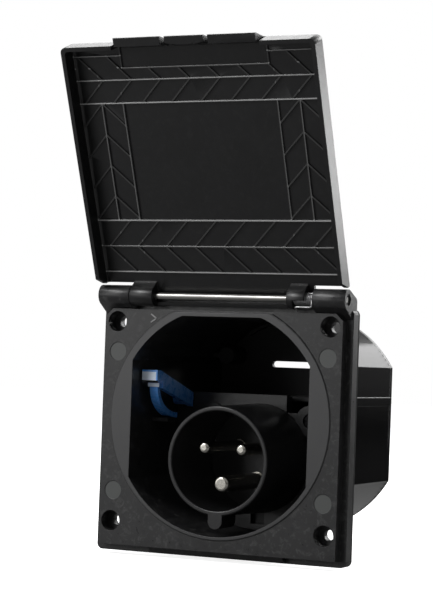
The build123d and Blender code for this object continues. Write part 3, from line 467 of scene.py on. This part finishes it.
@dataclass(frozen=True)
class LidPlastic(MouldedPlastic):
    """Plastic of the flap: its thin ribs carry painted highlights along their tops, for the light
    that their rounded edges catch.

    The rows cross the flap and carry the brightest painted highlight, the columns run beside its
    middle field with a dimmer one, and the slanting ribs between them carry the faintest. The
    outside of the side walls is painted a lighter grey for the sheen that it catches, with an even
    satin gloss.
    """

    rib_top_mm: tuple[float, float] = (-2.55, -2.0)
    rows_mm: tuple[float, ...] = (10.0, 21.4, 33.0, 84.0, 93.8, 98.8, 104.0)
    columns_mm: tuple[float, ...] = (34.7, 44.6)
    half_line_mm: float = 0.3
    span_mm: float = 120.0
    # painted highlights on the rib tops: brightest on the rows, dimmer on the columns, faintest on
    # the slanting ribs
    row_highlight_colour: str = "b0b0b0"
    column_highlight_colour: str = "6c6c6c"
    slant_highlight_colour: str = "3c3c3c"
    side_x_mm: float = 56.45
    # painted sheen: the lighter grey of the side walls' outside stands in for the reflection they
    # catch; the satin roughness is real
    side_sheen_colour: str = "4a4a4a"
    side_roughness: float = 0.3

    def zones(
        self,
        tree: bpy.types.NodeTree,
        place: bpy.types.NodeSocket,
        colour: bpy.types.NodeSocket,
        roughness: bpy.types.NodeSocket,
    ) -> tuple[bpy.types.NodeSocket, bpy.types.NodeSocket]:
        """Mixes in the painted highlights on the rib tops and the painted sheen on the outside of
        the side walls.

        Args:
            tree: The material's node tree.
            place: The point on the moulding.
            colour: The flap's colour.
            roughness: The flap's roughness.

        Returns:
            The colour and the roughness sockets to use.
        """
        lean = math.radians(LID_LEAN_DEG)
        hinge = (0.0, HINGE_Y_MM * MM, HINGE_Z_MM * MM)
        from_hinge = add_node(
            tree, "VectorMath", {"operation": "SUBTRACT", "1": hinge}, {"0": place}
        ).outputs["Vector"]
        ways = {
            "along": (0.0, -math.sin(lean), math.cos(lean)),
            "inwards": (0.0, -math.cos(lean), -math.sin(lean)),
        }
        lengths = {
            name: add_node(
                tree, "VectorMath", {"operation": "DOT_PRODUCT", "1": way}, {"0": from_hinge}
            ).outputs["Value"]
            for name, way in ways.items()
        }
        sideways = add_node(tree, "SeparateXYZ", links={"Vector": place}).outputs["X"]
        across = add_node(tree, "Math", {"operation": "ABSOLUTE"}, {"0": sideways}).outputs["Value"]
        top = where(
            tree,
            [
                (lengths["inwards"], Side.ABOVE, self.rib_top_mm[0]),
                (lengths["inwards"], Side.BELOW, self.rib_top_mm[1]),
                (across, Side.BELOW, self.side_x_mm),
            ],
        )
        columns = overlap(tree, [top, self.lines(tree, across, self.columns_mm)])
        rows = overlap(tree, [top, self.lines(tree, lengths["along"], self.rows_mm)])
        # the outside of the side walls, which gets the painted sheen
        side = where(tree, [(across, Side.ABOVE, self.side_x_mm)])
        # painted highlights on the rib tops, and painted sheen on the outside of the side walls
        zones = [
            (top, self.slant_highlight_colour, None),
            (columns, self.column_highlight_colour, None),
            (rows, self.row_highlight_colour, None),
            (side, self.side_sheen_colour, self.side_roughness),
        ]
        return lay_zones(tree, zones, colour, roughness)

    def lines(
        self,
        tree: bpy.types.NodeTree,
        length: bpy.types.NodeSocket,
        places_mm: tuple[float, ...],
    ) -> bpy.types.NodeSocket:
        """Finds the ribs at some places along a length.

        Args:
            tree: The material's node tree.
            length: The length that they are measured along.
            places_mm: The middle of each rib.

        Returns:
            A socket that is 1 within half a rib's width of any place.
        """
        share = add_node(
            tree, "Math", {"operation": "DIVIDE", "1": self.span_mm * MM}, {"0": length}
        ).outputs["Value"]
        stops = [(0.0, "000000")]
        for middle in places_mm:
            stops.append(((middle - self.half_line_mm) / self.span_mm, "ffffff"))
            stops.append(((middle + self.half_line_mm) / self.span_mm, "000000"))
        bands = add_node(tree, "ValToRGB", links={"Fac": share})
        bands.color_ramp.interpolation = "CONSTANT"
        return ramp(bands, stops).outputs["Color"]


@dataclass(frozen=True)
class LeverPlastic(MouldedPlastic):
    """Blue plastic of the lever and its leaf, paler on the front face of the nose, with a painted
    highlight on the front of the leaf's head.
    """

    # paler on the nose's front face; on the leaf's head this pale colour is a painted highlight
    pale_front_colour: str = "e2efff"
    pale_front_roughness: float = 0.4
    nose_y_mm: float = -3.7
    nose_z_mm: float = 20.1
    nose_x_mm: float = -33.5
    head_y_mm: float = -1.05
    head_z_mm: tuple[float, float] = (13.5, 15.6)

    def zones(
        self,
        tree: bpy.types.NodeTree,
        place: bpy.types.NodeSocket,
        colour: bpy.types.NodeSocket,
        roughness: bpy.types.NodeSocket,
    ) -> tuple[bpy.types.NodeSocket, bpy.types.NodeSocket]:
        """Mixes in the paler front face of the nose and the painted highlight on the front of the
        leaf's head.

        Args:
            tree: The material's node tree.
            place: The point on the moulding.
            colour: The blue.
            roughness: Its roughness.

        Returns:
            The colour and the roughness sockets to use.
        """
        parts = add_node(tree, "SeparateXYZ", links={"Vector": place}).outputs
        nose = where(
            tree,
            [
                (parts["Y"], Side.BELOW, self.nose_y_mm),
                (parts["Z"], Side.BELOW, self.nose_z_mm),
                (parts["X"], Side.BELOW, self.nose_x_mm),
            ],
        )
        head = where(
            tree,
            [
                (parts["Y"], Side.BELOW, self.head_y_mm),
                (parts["Z"], Side.BELOW, self.head_z_mm[1]),
                (parts["Z"], Side.ABOVE, self.head_z_mm[0]),
            ],
        )
        # the nose's paler front face, and the painted highlight on the leaf's head
        zones = [(mask, self.pale_front_colour, self.pale_front_roughness) for mask in (nose, head)]
        return lay_zones(tree, zones, colour, roughness)


@dataclass(frozen=True)
class WorkedMetal:
    """Drawn or turned metal, bare or plated, with fine lines along one direction.

    The lines give the eye a highlight drawn out across them. Real ones are about
    0.02 mm apart, so they are drawn coarser here to show.
    """

    name: str
    colour: str
    line_colour: str
    roughness: float
    lines: Axis = Axis.X
    line_mm: float = 0.25
    line_length_mm: float = 12.0
    line_depth_mm: float = 0.004
    tint_from: float = 0.3
    tint_to: float = 0.65
    gloss_from: float = 0.3
    gloss_to: float = 0.7
    dull_share: float = 1.25
    bright_share: float = 0.8

    def build(self) -> bpy.types.Material:
        """Builds the node material."""
        material, tree, shader = start_material(self.name)
        shader.inputs["Metallic"].default_value = 1.0
        place = add_node(tree, "TexCoord").outputs["Object"]
        across = 1 / (self.line_mm * MM)
        along = 1 / (self.line_length_mm * MM)
        scale = [across, across, across]
        scale[self.lines.value] = along
        stretched = add_node(tree, "Mapping", {"Scale": tuple(scale)}, {"Vector": place})
        lines = add_node(
            tree,
            "TexNoise",
            {"Scale": 1.0, "Detail": 3.0, "Roughness": 0.6},
            {"Vector": stretched.outputs["Vector"]},
        )
        tint = ramp(
            add_node(tree, "ValToRGB", links={"Fac": lines.outputs["Fac"]}),
            [(self.tint_from, self.line_colour), (self.tint_to, self.colour)],
        )
        tree.links.new(tint.outputs["Color"], shader.inputs["Base Color"])
        gloss = add_node(
            tree,
            "MapRange",
            {
                "From Min": self.gloss_from,
                "From Max": self.gloss_to,
                "To Min": self.roughness * self.dull_share,
                "To Max": self.roughness * self.bright_share,
            },
            {"Value": lines.outputs["Fac"]},
        )
        tree.links.new(gloss.outputs["Result"], shader.inputs["Roughness"])
        bump = add_node(
            tree,
            "Bump",
            {"Strength": 1.0, "Distance": self.line_depth_mm * MM},
            {"Height": lines.outputs["Fac"]},
        )
        tree.links.new(bump.outputs["Normal"], shader.inputs["Normal"])
        return material


# Glass-filled ABS, moulded and lightly textured: a charcoal black with soft broken gloss.
HOUSING_ABS = FlangeAndBoxPlastic(
    "Glass-filled black ABS, moulded",
    "1c1c1d",
    "242425",
    0.38,
    roughness_spread=0.26,
    scuff_colour="484848",
    scuff_share=0.8,
)
# The same ABS, coloured pale grey on the raised strokes of the mould mark.
MARK_ABS = MouldedPlastic("Black ABS, pale mark", "8c8c8c", "a0a0a0", 0.4)
# ABS of the flap: the same black, a little duller inside from the eroded mould face.
LID_ABS = LidPlastic("Black ABS flap, moulded", "111112", "151516", 0.36, scuff_share=0.2)
# Polyamide of the contact carrier: a deeper black with a tighter sheen.
CARRIER_PA = MouldedPlastic("Black polyamide, moulded", "19191a", "202021", 0.33, scuff_share=0.3)
# Polyamide of the lever and its leaf: saturated blue with a waxy gloss.
LEVER_PA = LeverPlastic(
    "Blue polyamide, moulded", "4a90e2", "559aea", 0.28, grain_mm=0.4, scuff_colour="6c9cd6"
)
# Closed-cell foam of the wall gasket: dull black with open pores at its cut edge.
GASKET_FOAM = MouldedPlastic(
    "EPDM foam, cut", "1a1a1a", "262626", 0.85, grain_mm=0.35, grain_depth_mm=0.08, specular=0.25
)
# Rubber of the grommet: dull black, smooth.
GROMMET_RUBBER = MouldedPlastic(
    "EPDM rubber, moulded", "171717", "1d1d1d", 0.62, grain_mm=0.3, specular=0.35
)
# Drawn stainless rod: long fine lines and a bright band where it faces the light.
ROD_STEEL = WorkedMetal("Stainless steel, drawn", "a4a3a0", "868582", 0.32, Axis.X)
# Spring wire: duller than the rod, with the grey skin left by drawing.
SPRING_STEEL = WorkedMetal(
    "Spring steel wire, drawn", "c4c4c5", "8c8c8d", 0.42, Axis.X, line_length_mm=2.0
)
# Nickel plate over turned brass: warm grey and bright, with faint turning lines.
PIN_NICKEL = WorkedMetal(
    "Nickel-plated brass, turned", "cfccc4", "b3b0a8", 0.2, Axis.X, line_length_mm=3.0
)
# Black-plated screws of the carrier: nearly as dark as the plastic, with a soft sheen.
SCREW_BLACK = WorkedMetal(
    "Black zinc-plated steel, headed", "2c2c2d", "1f1f20", 0.4, Axis.Z, line_length_mm=1.5
)
# Zinc-plated steel screws: cool grey, satin.
SCREW_ZINC = WorkedMetal(
    "Zinc-plated steel, headed", "b9babb", "97989a", 0.34, Axis.Z, line_length_mm=1.5
)


@cache
def material_of(finish: MouldedPlastic | WorkedMetal) -> bpy.types.Material:
    """Builds a finish's material once, so that pieces of one material share it."""
    return finish.build()


@dataclass
class SoftEdges:
    """Rounds the sharp edges of a CAD node with modifiers, as a mould or tumbling leaves them."""

    width_mm: float
    segments: int = 2
    angle_deg: float = 32.0
    seam_m: float = 1e-6

    def apply_to(self, obj: bpy.types.Object) -> None:
        """Adds the modifiers.

        Args:
            obj: The object whose edges are rounded.
        """
        weld = obj.modifiers.new("join seams", "WELD")
        weld.merge_threshold = self.seam_m
        bevel = obj.modifiers.new("soft edges", "BEVEL")
        bevel.width = self.width_mm * MM
        bevel.segments = self.segments
        bevel.limit_method = "ANGLE"
        bevel.angle_limit = math.radians(self.angle_deg)
        bevel.use_clamp_overlap = True
        bevel.harden_normals = True
        bevel.miter_outer = "MITER_ARC"


def dress(node: str, finish: MouldedPlastic | WorkedMetal) -> bpy.types.Object:
    """Gives a CAD node its finish.

    Args:
        node: The CAD node's name.
        finish: The finish.

    Returns:
        The node's object.
    """
    obj = bpy.data.objects[node]
    obj.data.materials.clear()
    obj.data.materials.append(material_of(finish))
    return obj


@dataclass
class Mouldings:
    """The black mouldings: housing, lid, contact carrier, rear cover and small plates."""

    edge_mm: dict[str, float] = field(
        default_factory=lambda: {
            "housing": 0.3,
            "lid": 0.25,
            "contact_carrier": 0.25,
            "rear_cover": 0.3,
            "pin_retainer": 0.2,
            "cable_clamp": 0.3,
        }
    )

    def build(self) -> list[str]:
        """Dresses the mouldings and rounds their edges.

        Returns:
            The nodes that were dressed.
        """
        finishes = {
            "housing": HOUSING_ABS,
            "rear_cover": HOUSING_ABS,
            "lid": LID_ABS,
            "contact_carrier": CARRIER_PA,
            "pin_retainer": CARRIER_PA,
            "cable_clamp": CARRIER_PA,
        }
        for node, finish in finishes.items():
            SoftEdges(self.edge_mm[node]).apply_to(dress(node, finish))
        return list(finishes)


@dataclass
class Hardware:
    """Rod, springs, pins and screws."""

    finishes: dict[str, WorkedMetal] = field(
        default_factory=lambda: {
            "hinge_rod": ROD_STEEL,
            "lever_pin": ROD_STEEL,
            "lid_spring": SPRING_STEEL,
            "line_pin": PIN_NICKEL,
            "neutral_pin": PIN_NICKEL,
            "earth_pin": PIN_NICKEL,
            "carrier_screws": SCREW_BLACK,
            "cover_screws": SCREW_ZINC,
            "terminal_screws": SCREW_ZINC,
            "retainer_screw": SCREW_ZINC,
            "clamp_screws": SCREW_ZINC,
        }
    )

    def build(self) -> list[str]:
        """Dresses the metal pieces.

        Returns:
            The nodes that were dressed.
        """
        for node, finish in self.finishes.items():
            dress(node, finish)
        return list(self.finishes)


@dataclass
class LeverAndSeals:
    """The blue lever, and the rubber gasket and grommet."""

    lever_edge_mm: float = 0.4
    lever_edge_segments: int = 3

    def build(self) -> list[str]:
        """Dresses the lever and the seals.

        Returns:
            The nodes that were dressed.
        """
        lever = dress("release_lever", LEVER_PA)
        SoftEdges(self.lever_edge_mm, self.lever_edge_segments).apply_to(lever)
        dress("lever_spring", LEVER_PA)
        dress("wall_gasket", GASKET_FOAM)
        dress("cable_grommet", GROMMET_RUBBER)
        return ["release_lever", "lever_spring", "wall_gasket", "cable_grommet"]


def tube(points: list[Vector], radius: float, sides: int = 10) -> bpy.types.Mesh:
    """Makes a round wire along a line of points, closed at both ends.

    Args:
        points: The wire's middle line.
        radius: The wire's radius.
        sides: The number of points round the wire.

    Returns:
        The mesh.
    """
    mesh = bpy.data.meshes.new("wire")
    rings: list[list[bmesh.types.BMVert]] = []
    body = bmesh.new()
    normal = (points[1] - points[0]).orthogonal().normalized()
    for index, point in enumerate(points):
        before = points[max(index - 1, 0)]
        after = points[min(index + 1, len(points) - 1)]
        along = (after - before).normalized()
        normal = (normal - along * normal.dot(along)).normalized()
        side = along.cross(normal)
        ring = []
        for step in range(sides):
            turn = math.tau * step / sides
            offset = normal * math.cos(turn) + side * math.sin(turn)
            ring.append(body.verts.new(point + offset * radius))
        rings.append(ring)
    for first, second in zip(rings, rings[1:]):
        for step in range(sides):
            after = (step + 1) % sides
            face = body.faces.new((first[step], first[after], second[after], second[step]))
            face.smooth = True
    body.faces.new(reversed(rings[0]))
    body.faces.new(rings[-1])
    bmesh.ops.recalc_face_normals(body, faces=body.faces)
    body.to_mesh(mesh)
    body.free()
    return mesh


def place_piece(
    name: str, mesh: bpy.types.Mesh, finish: MouldedPlastic | WorkedMetal
) -> bpy.types.Object:
    """Adds a mesh as a named piece.

    Args:
        name: The piece's name.
        mesh: Its mesh.
        finish: Its finish.

    Returns:
        The new object.
    """
    piece = bpy.data.objects.new(name, mesh)
    mesh.materials.append(material_of(finish))
    bpy.context.scene.collection.objects.link(piece)
    return piece


@dataclass
class LidSpring:
    """Wound torsion spring on the hinge rod, with its leg on the panel and its tail in the lid."""

    start_mm: float = 33.6
    end_mm: float = 41.4
    coil_r_mm: float = 2.35
    wire_mm: float = 0.72
    turns: int = 10
    steps: int = 24
    tail_mm: float = 2.2
    bend_mm: float = 0.9
    bend_steps: int = 6
    leg_z_mm: float = 49.1
    foot_mm: tuple[float, float, float] = (33.9, -10.7, 47.3)

    def on_coil(self, x_mm: float, angle: float) -> Vector:
        """Finds a point of the coil.

        Args:
            x_mm: How far along the rod it is.
            angle: Its turn about the rod, measured from the leg on the panel.

        Returns:
            The point, in millimetres.
        """
        return Vector(
            (
                x_mm,
                HINGE_Y_MM - self.coil_r_mm * math.cos(angle),
                HINGE_Z_MM - self.coil_r_mm * math.sin(angle),
            )
        )

    def bent(self, corners: list[Vector]) -> list[Vector]:
        """Rounds the corners of a leg.

        Args:
            corners: The leg's corner points.

        Returns:
            The points of the bent leg.
        """
        line = [corners[0]]
        for before, corner, after in zip(corners, corners[1:], corners[2:]):
            start = corner + (before - corner).normalized() * self.bend_mm
            stop = corner + (after - corner).normalized() * self.bend_mm
            for step in range(self.bend_steps + 1):
                share = step / self.bend_steps
                line.append(
                    start * (1 - share) ** 2 + corner * 2 * share * (1 - share) + stop * share**2
                )
        line.append(corners[-1])
        return line

    def build(self) -> list[str]:
        """Winds the coils and bends the two legs.

        Returns:
            The pieces that were made.
        """
        lean = math.radians(LID_LEAN_DEG)
        sweep = math.tau * self.turns - lean
        count = self.turns * self.steps
        coils = [
            self.on_coil(
                self.start_mm + (self.end_mm - self.start_mm) * step / count,
                lean + sweep * step / count,
            )
            for step in range(count + 1)
        ]
        leg_x = self.end_mm
        leg_y = HINGE_Y_MM - self.coil_r_mm
        leg = self.bent(
            [
                Vector((leg_x, leg_y, HINGE_Z_MM)),
                Vector((leg_x, leg_y, self.leg_z_mm)),
                Vector((self.foot_mm[0], leg_y, self.leg_z_mm)),
                Vector(self.foot_mm),
            ]
        )
        tail_end = self.on_coil(self.start_mm - self.tail_mm, lean)
        lines = {"spring_coils": coils, "spring_leg": leg, "spring_tail": [coils[0], tail_end]}
        for name, line in lines.items():
            mesh = tube([point * MM for point in line], self.wire_mm / 2 * MM)
            piece = place_piece(name, mesh, SPRING_STEEL)
            if name == "spring_coils":
                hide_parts("lid_spring")
                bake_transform(piece)
            else:
                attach(piece, "housing" if name == "spring_leg" else "lid")
        return list(lines)


@dataclass
class LeafSpring:
    """Moulded leaf that holds the lever up: a curved blade with a crosswise head."""

    middle_x_mm: float = -36.0
    width_mm: float = 4.0
    thickness_mm: float = 2.4
    centre_mm: tuple[float, float] = (19.5, 13.6)
    reach_mm: float = 19.1
    drop_mm: float = 12.2
    head_w_mm: float = 5.6
    head_y_mm: tuple[float, float] = (-1.2, 1.6)
    head_top_mm: float = 15.4
    edge_mm: float = 0.3
    edge_segments: int = 3
    grip_share: float = 0.05
    steps: int = 28

    def build(self) -> list[str]:
        """Bends the blade and puts on its head.

        Returns:
            The piece that was made.
        """
        body = bmesh.new()
        centre_y, centre_z = self.centre_mm
        half_t = self.thickness_mm / 2
        rings = []
        for step in range(self.steps + 1):
            angle = math.pi + math.pi / 2 * step / self.steps
            ring = []
            for grow, side in ((half_t, -1), (half_t, 1), (-half_t, 1), (-half_t, -1)):
                ring.append(
                    body.verts.new(
                        Vector(
                            (
                                self.middle_x_mm + side * self.width_mm / 2,
                                centre_y + (self.reach_mm + grow) * math.cos(angle),
                                centre_z + (self.drop_mm + grow) * math.sin(angle),
                            )
                        )
                        * MM
                    )
                )
            rings.append(ring)
        for first, second in zip(rings, rings[1:]):
            for corner in range(4):
                after = (corner + 1) % 4
                body.faces.new((first[corner], first[after], second[after], second[corner]))
        body.faces.new(rings[0])
        body.faces.new(reversed(rings[-1]))
        size = (self.head_w_mm, self.head_y_mm[1] - self.head_y_mm[0], self.head_top_mm - centre_z)
        middle = (self.middle_x_mm, sum(self.head_y_mm) / 2, (self.head_top_mm + centre_z) / 2)
        stretch = Matrix.Diagonal((*(v * MM for v in size), 1.0))
        at_head = Matrix.Translation(Vector(middle) * MM) @ stretch
        bmesh.ops.create_cube(body, size=1.0, matrix=at_head)
        bmesh.ops.recalc_face_normals(body, faces=body.faces)
        mesh = bpy.data.meshes.new("leaf")
        body.to_mesh(mesh)
        body.free()
        leaf = place_piece("leaf_spring", mesh, LEVER_PA)
        SoftEdges(self.edge_mm, self.edge_segments).apply_to(leaf)
        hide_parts("lever_spring")
        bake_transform(leaf)
        return ["leaf_spring"]


@dataclass
class MouldMark:
    """Small raised chevron that the mould leaves on the panel."""

    middle_mm: tuple[float, float, float] = (-31.8, -11.6, 43.0)
    width_mm: float = 2.6
    height_mm: float = 3.6
    stroke_mm: float = 0.55
    rise_mm: float = 0.25

    def build(self) -> list[str]:
        """Draws the two strokes of the mark.

        Returns:
            The piece that was made.
        """
        x, y, z = self.middle_mm
        tip = (x + self.width_mm / 2, z)
        body = bmesh.new()
        for end in (1, -1):
            root = (x - self.width_mm / 2, z + end * self.height_mm / 2)
            along = Vector((tip[0] - root[0], tip[1] - root[1])).normalized()
            side = Vector((-along.y, along.x)) * self.stroke_mm / 2
            outline = [
                (root[0] + side.x, root[1] + side.y),
                (tip[0] + side.x, tip[1] + side.y),
                (tip[0] - side.x, tip[1] - side.y),
                (root[0] - side.x, root[1] - side.y),
            ]
            front_y, back_y = y - self.rise_mm / 2, y + self.rise_mm
            front = [body.verts.new(Vector((px, front_y, pz)) * MM) for px, pz in outline]
            back = [body.verts.new(Vector((px, back_y, pz)) * MM) for px, pz in outline]
            body.faces.new(front)
            body.faces.new(reversed(back))
            for corner in range(4):
                after = (corner + 1) % 4
                body.faces.new((front[after], front[corner], back[corner], back[after]))
        bmesh.ops.recalc_face_normals(body, faces=body.faces)
        mesh = bpy.data.meshes.new("mark")
        body.to_mesh(mesh)
        body.free()
        mark = place_piece("mould_mark", mesh, MARK_ABS)
        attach(mark, "housing")
        return ["mould_mark"]


@dataclass(frozen=True)
class Lamp:
    """Soft rectangular lamp: its name, place, width and height in metres, and watts."""

    name: str
    place: tuple[float, float, float]
    size: tuple[float, float]
    power: float


@dataclass
class Studio:
    """Camera, lamps, world and floor, as in the photograph."""

    image_height_px: float = 600.0
    focal_px: float = 1979.6
    sensor_mm: float = 36.0
    place_mm: tuple[float, float, float] = (347.6, -765.8, 25.8)
    yaw_deg: float = 24.91
    pitch_deg: float = -1.76
    roll_deg: float = 2.09
    clip_m: tuple[float, float] = (0.01, 20.0)
    floor_z: float = -0.0585
    floor_y: float = 0.5
    floor_side: float = 6.0
    dome_edge: tuple[float, float] = (0.0, 0.5)
    dome_low: float = 0.08
    dome_high: float = 0.28
    paper_near: str = "8c8c8c"
    paper_far: str = "202020"
    paper_fade: tuple[float, float] = (0.15, 0.4)
    paper_seen: str = "f4f4f4"
    paper_roughness: float = 0.9
    paper_glow: float = 0.84
    aim_at: tuple[float, float, float] = (0.0, 0.0, 0.04)
    lamps: tuple[Lamp, ...] = (
        Lamp("key", (-0.72, -1.05, 1.0), (0.5, 0.5), 12.0),
        Lamp("front_left", (-0.85, -1.15, 0.22), (1.0, 0.6), 3.4),
        Lamp("back_top", (-0.1, 1.0, 0.95), (1.5, 0.8), 12.0),
        Lamp("back_right", (0.02, 1.25, 0.2), (0.4, 0.9), 1.5),
        Lamp("back_strip", (0.52, 1.25, 0.25), (0.35, 0.24), 1.5),
        Lamp("back_right_high", (0.6, 1.05, 0.75), (0.6, 0.5), 6.0),
    )

    def camera(self) -> None:
        """Places the camera at the photograph's viewpoint."""
        yaw, pitch, roll = (math.radians(v) for v in (self.yaw_deg, self.pitch_deg, self.roll_deg))
        forward = Vector(
            (-math.sin(yaw) * math.cos(pitch), math.cos(yaw) * math.cos(pitch), -math.sin(pitch))
        )
        right = Vector((math.cos(yaw), math.sin(yaw), 0))
        up = right.cross(forward)
        across = right * math.cos(roll) + up * math.sin(roll)
        upright = up * math.cos(roll) - right * math.sin(roll)
        data = bpy.data.cameras.new("camera")
        data.sensor_width = self.sensor_mm
        data.lens = self.focal_px / self.image_height_px * self.sensor_mm
        data.clip_start, data.clip_end = self.clip_m
        camera = bpy.data.objects.new("camera", data)
        turn = Matrix((across, upright, -forward)).transposed().to_4x4()
        camera.matrix_world = Matrix.Translation(Vector(self.place_mm) * MM) @ turn
        bpy.context.scene.collection.objects.link(camera)
        bpy.context.scene.camera = camera

    def light(self, lamp: Lamp) -> None:
        """Sets up a lamp and turns it to the part.

        Args:
            lamp: The lamp to set up.
        """
        data = bpy.data.lights.new(lamp.name, "AREA")
        data.shape = "RECTANGLE"
        data.size, data.size_y = lamp.size
        data.energy = lamp.power
        stand = bpy.data.objects.new(lamp.name, data)
        stand.location = lamp.place
        stand.rotation_mode = "QUATERNION"
        aim = Vector(self.aim_at) - Vector(lamp.place)
        stand.rotation_quaternion = aim.to_track_quat("-Z", "Y")
        bpy.context.scene.collection.objects.link(stand)

    def world(self) -> None:
        """Makes a white backdrop, and a dome that is dim below and brighter above."""
        world = bpy.data.worlds.new("studio")
        bpy.context.scene.world = world
        world.use_nodes = True
        tree = world.node_tree
        tree.nodes.clear()
        way = add_node(tree, "TexCoord").outputs["Generated"]
        height = add_node(tree, "SeparateXYZ", links={"Vector": way}).outputs["Z"]
        level = add_node(
            tree,
            "MapRange",
            {
                "interpolation_type": "SMOOTHSTEP",
                "From Min": self.dome_edge[0],
                "From Max": self.dome_edge[1],
                "To Min": self.dome_low,
                "To Max": self.dome_high,
            },
            {"Value": height},
        )
        fill = add_node(
            tree, "Background", {"Color": (1, 1, 1, 1)}, {"Strength": level.outputs["Result"]}
        )
        backdrop = add_node(tree, "Background", {"Color": (1, 1, 1, 1), "Strength": 1.0})
        seen = self.seen_directly(tree)
        mix = add_node(
            tree,
            "MixShader",
            links={
                "Fac": seen,
                "1": fill.outputs["Background"],
                "2": backdrop.outputs["Background"],
            },
        )
        add_node(tree, "OutputWorld", links={"Surface": mix.outputs["Shader"]})

    def seen_directly(self, tree: bpy.types.NodeTree) -> bpy.types.NodeSocket:
        """Finds what the camera sees straight on or through glass.

        Args:
            tree: The node tree that asks.

        Returns:
            A socket that is 1 there and 0 elsewhere.
        """
        path = add_node(tree, "LightPath")
        return add_node(
            tree,
            "Math",
            {"operation": "MAXIMUM"},
            {"0": path.outputs["Is Camera Ray"], "1": path.outputs["Is Transmission Ray"]},
        ).outputs["Value"]

    def floor(self) -> None:
        """Lays the pale floor; what the part mirrors of it is grey, and darker behind the part."""
        at = (0.0, self.floor_y, self.floor_z)
        bpy.ops.mesh.primitive_plane_add(size=self.floor_side, location=at)
        plane = bpy.context.object
        plane.name = "floor"
        material, tree, shader = start_material("Matt white paper sweep")
        shader.inputs["Roughness"].default_value = self.paper_roughness
        shader.inputs["Specular IOR Level"].default_value = 0.0
        seen = self.seen_directly(tree)
        place = add_node(tree, "NewGeometry").outputs["Position"]
        behind = add_node(tree, "SeparateXYZ", links={"Vector": place}).outputs["Y"]
        fade = add_node(
            tree,
            "MapRange",
            {"From Min": self.paper_fade[0], "From Max": self.paper_fade[1]},
            {"Value": behind},
        ).outputs["Result"]
        aside = add_node(
            tree,
            "Mix",
            {"data_type": "RGBA", "6": linear(self.paper_near), "7": linear(self.paper_far)},
            {"0": fade},
        ).outputs[2]
        paper = add_node(
            tree,
            "Mix",
            {"data_type": "RGBA", "7": linear(self.paper_seen)},
            {"0": seen, "6": aside},
        )
        tree.links.new(paper.outputs[2], shader.inputs["Base Color"])
        glow = add_node(tree, "Math", {"operation": "MULTIPLY", "1": self.paper_glow}, {"0": seen})
        shader.inputs["Emission Color"].default_value = (1, 1, 1, 1)
        tree.links.new(glow.outputs["Value"], shader.inputs["Emission Strength"])
        plane.data.materials.append(material)

    def build(self) -> None:
        """Builds the whole studio."""
        self.camera()
        self.world()
        self.floor()
        for lamp in self.lamps:
            self.light(lamp)
        bpy.context.scene.view_settings.view_transform = "Standard"


def main() -> None:
    """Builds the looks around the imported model."""
    logging.basicConfig(level=logging.INFO, format="%(name)s: %(message)s")
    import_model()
    Studio().build()
    assemblies = (Mouldings(), Hardware(), LeverAndSeals(), LidSpring(), LeafSpring(), MouldMark())
    for assembly in assemblies:
        for piece in assembly.build():
            LOG.info("dressed %s", piece)


if __name__ == "__main__":
    main()
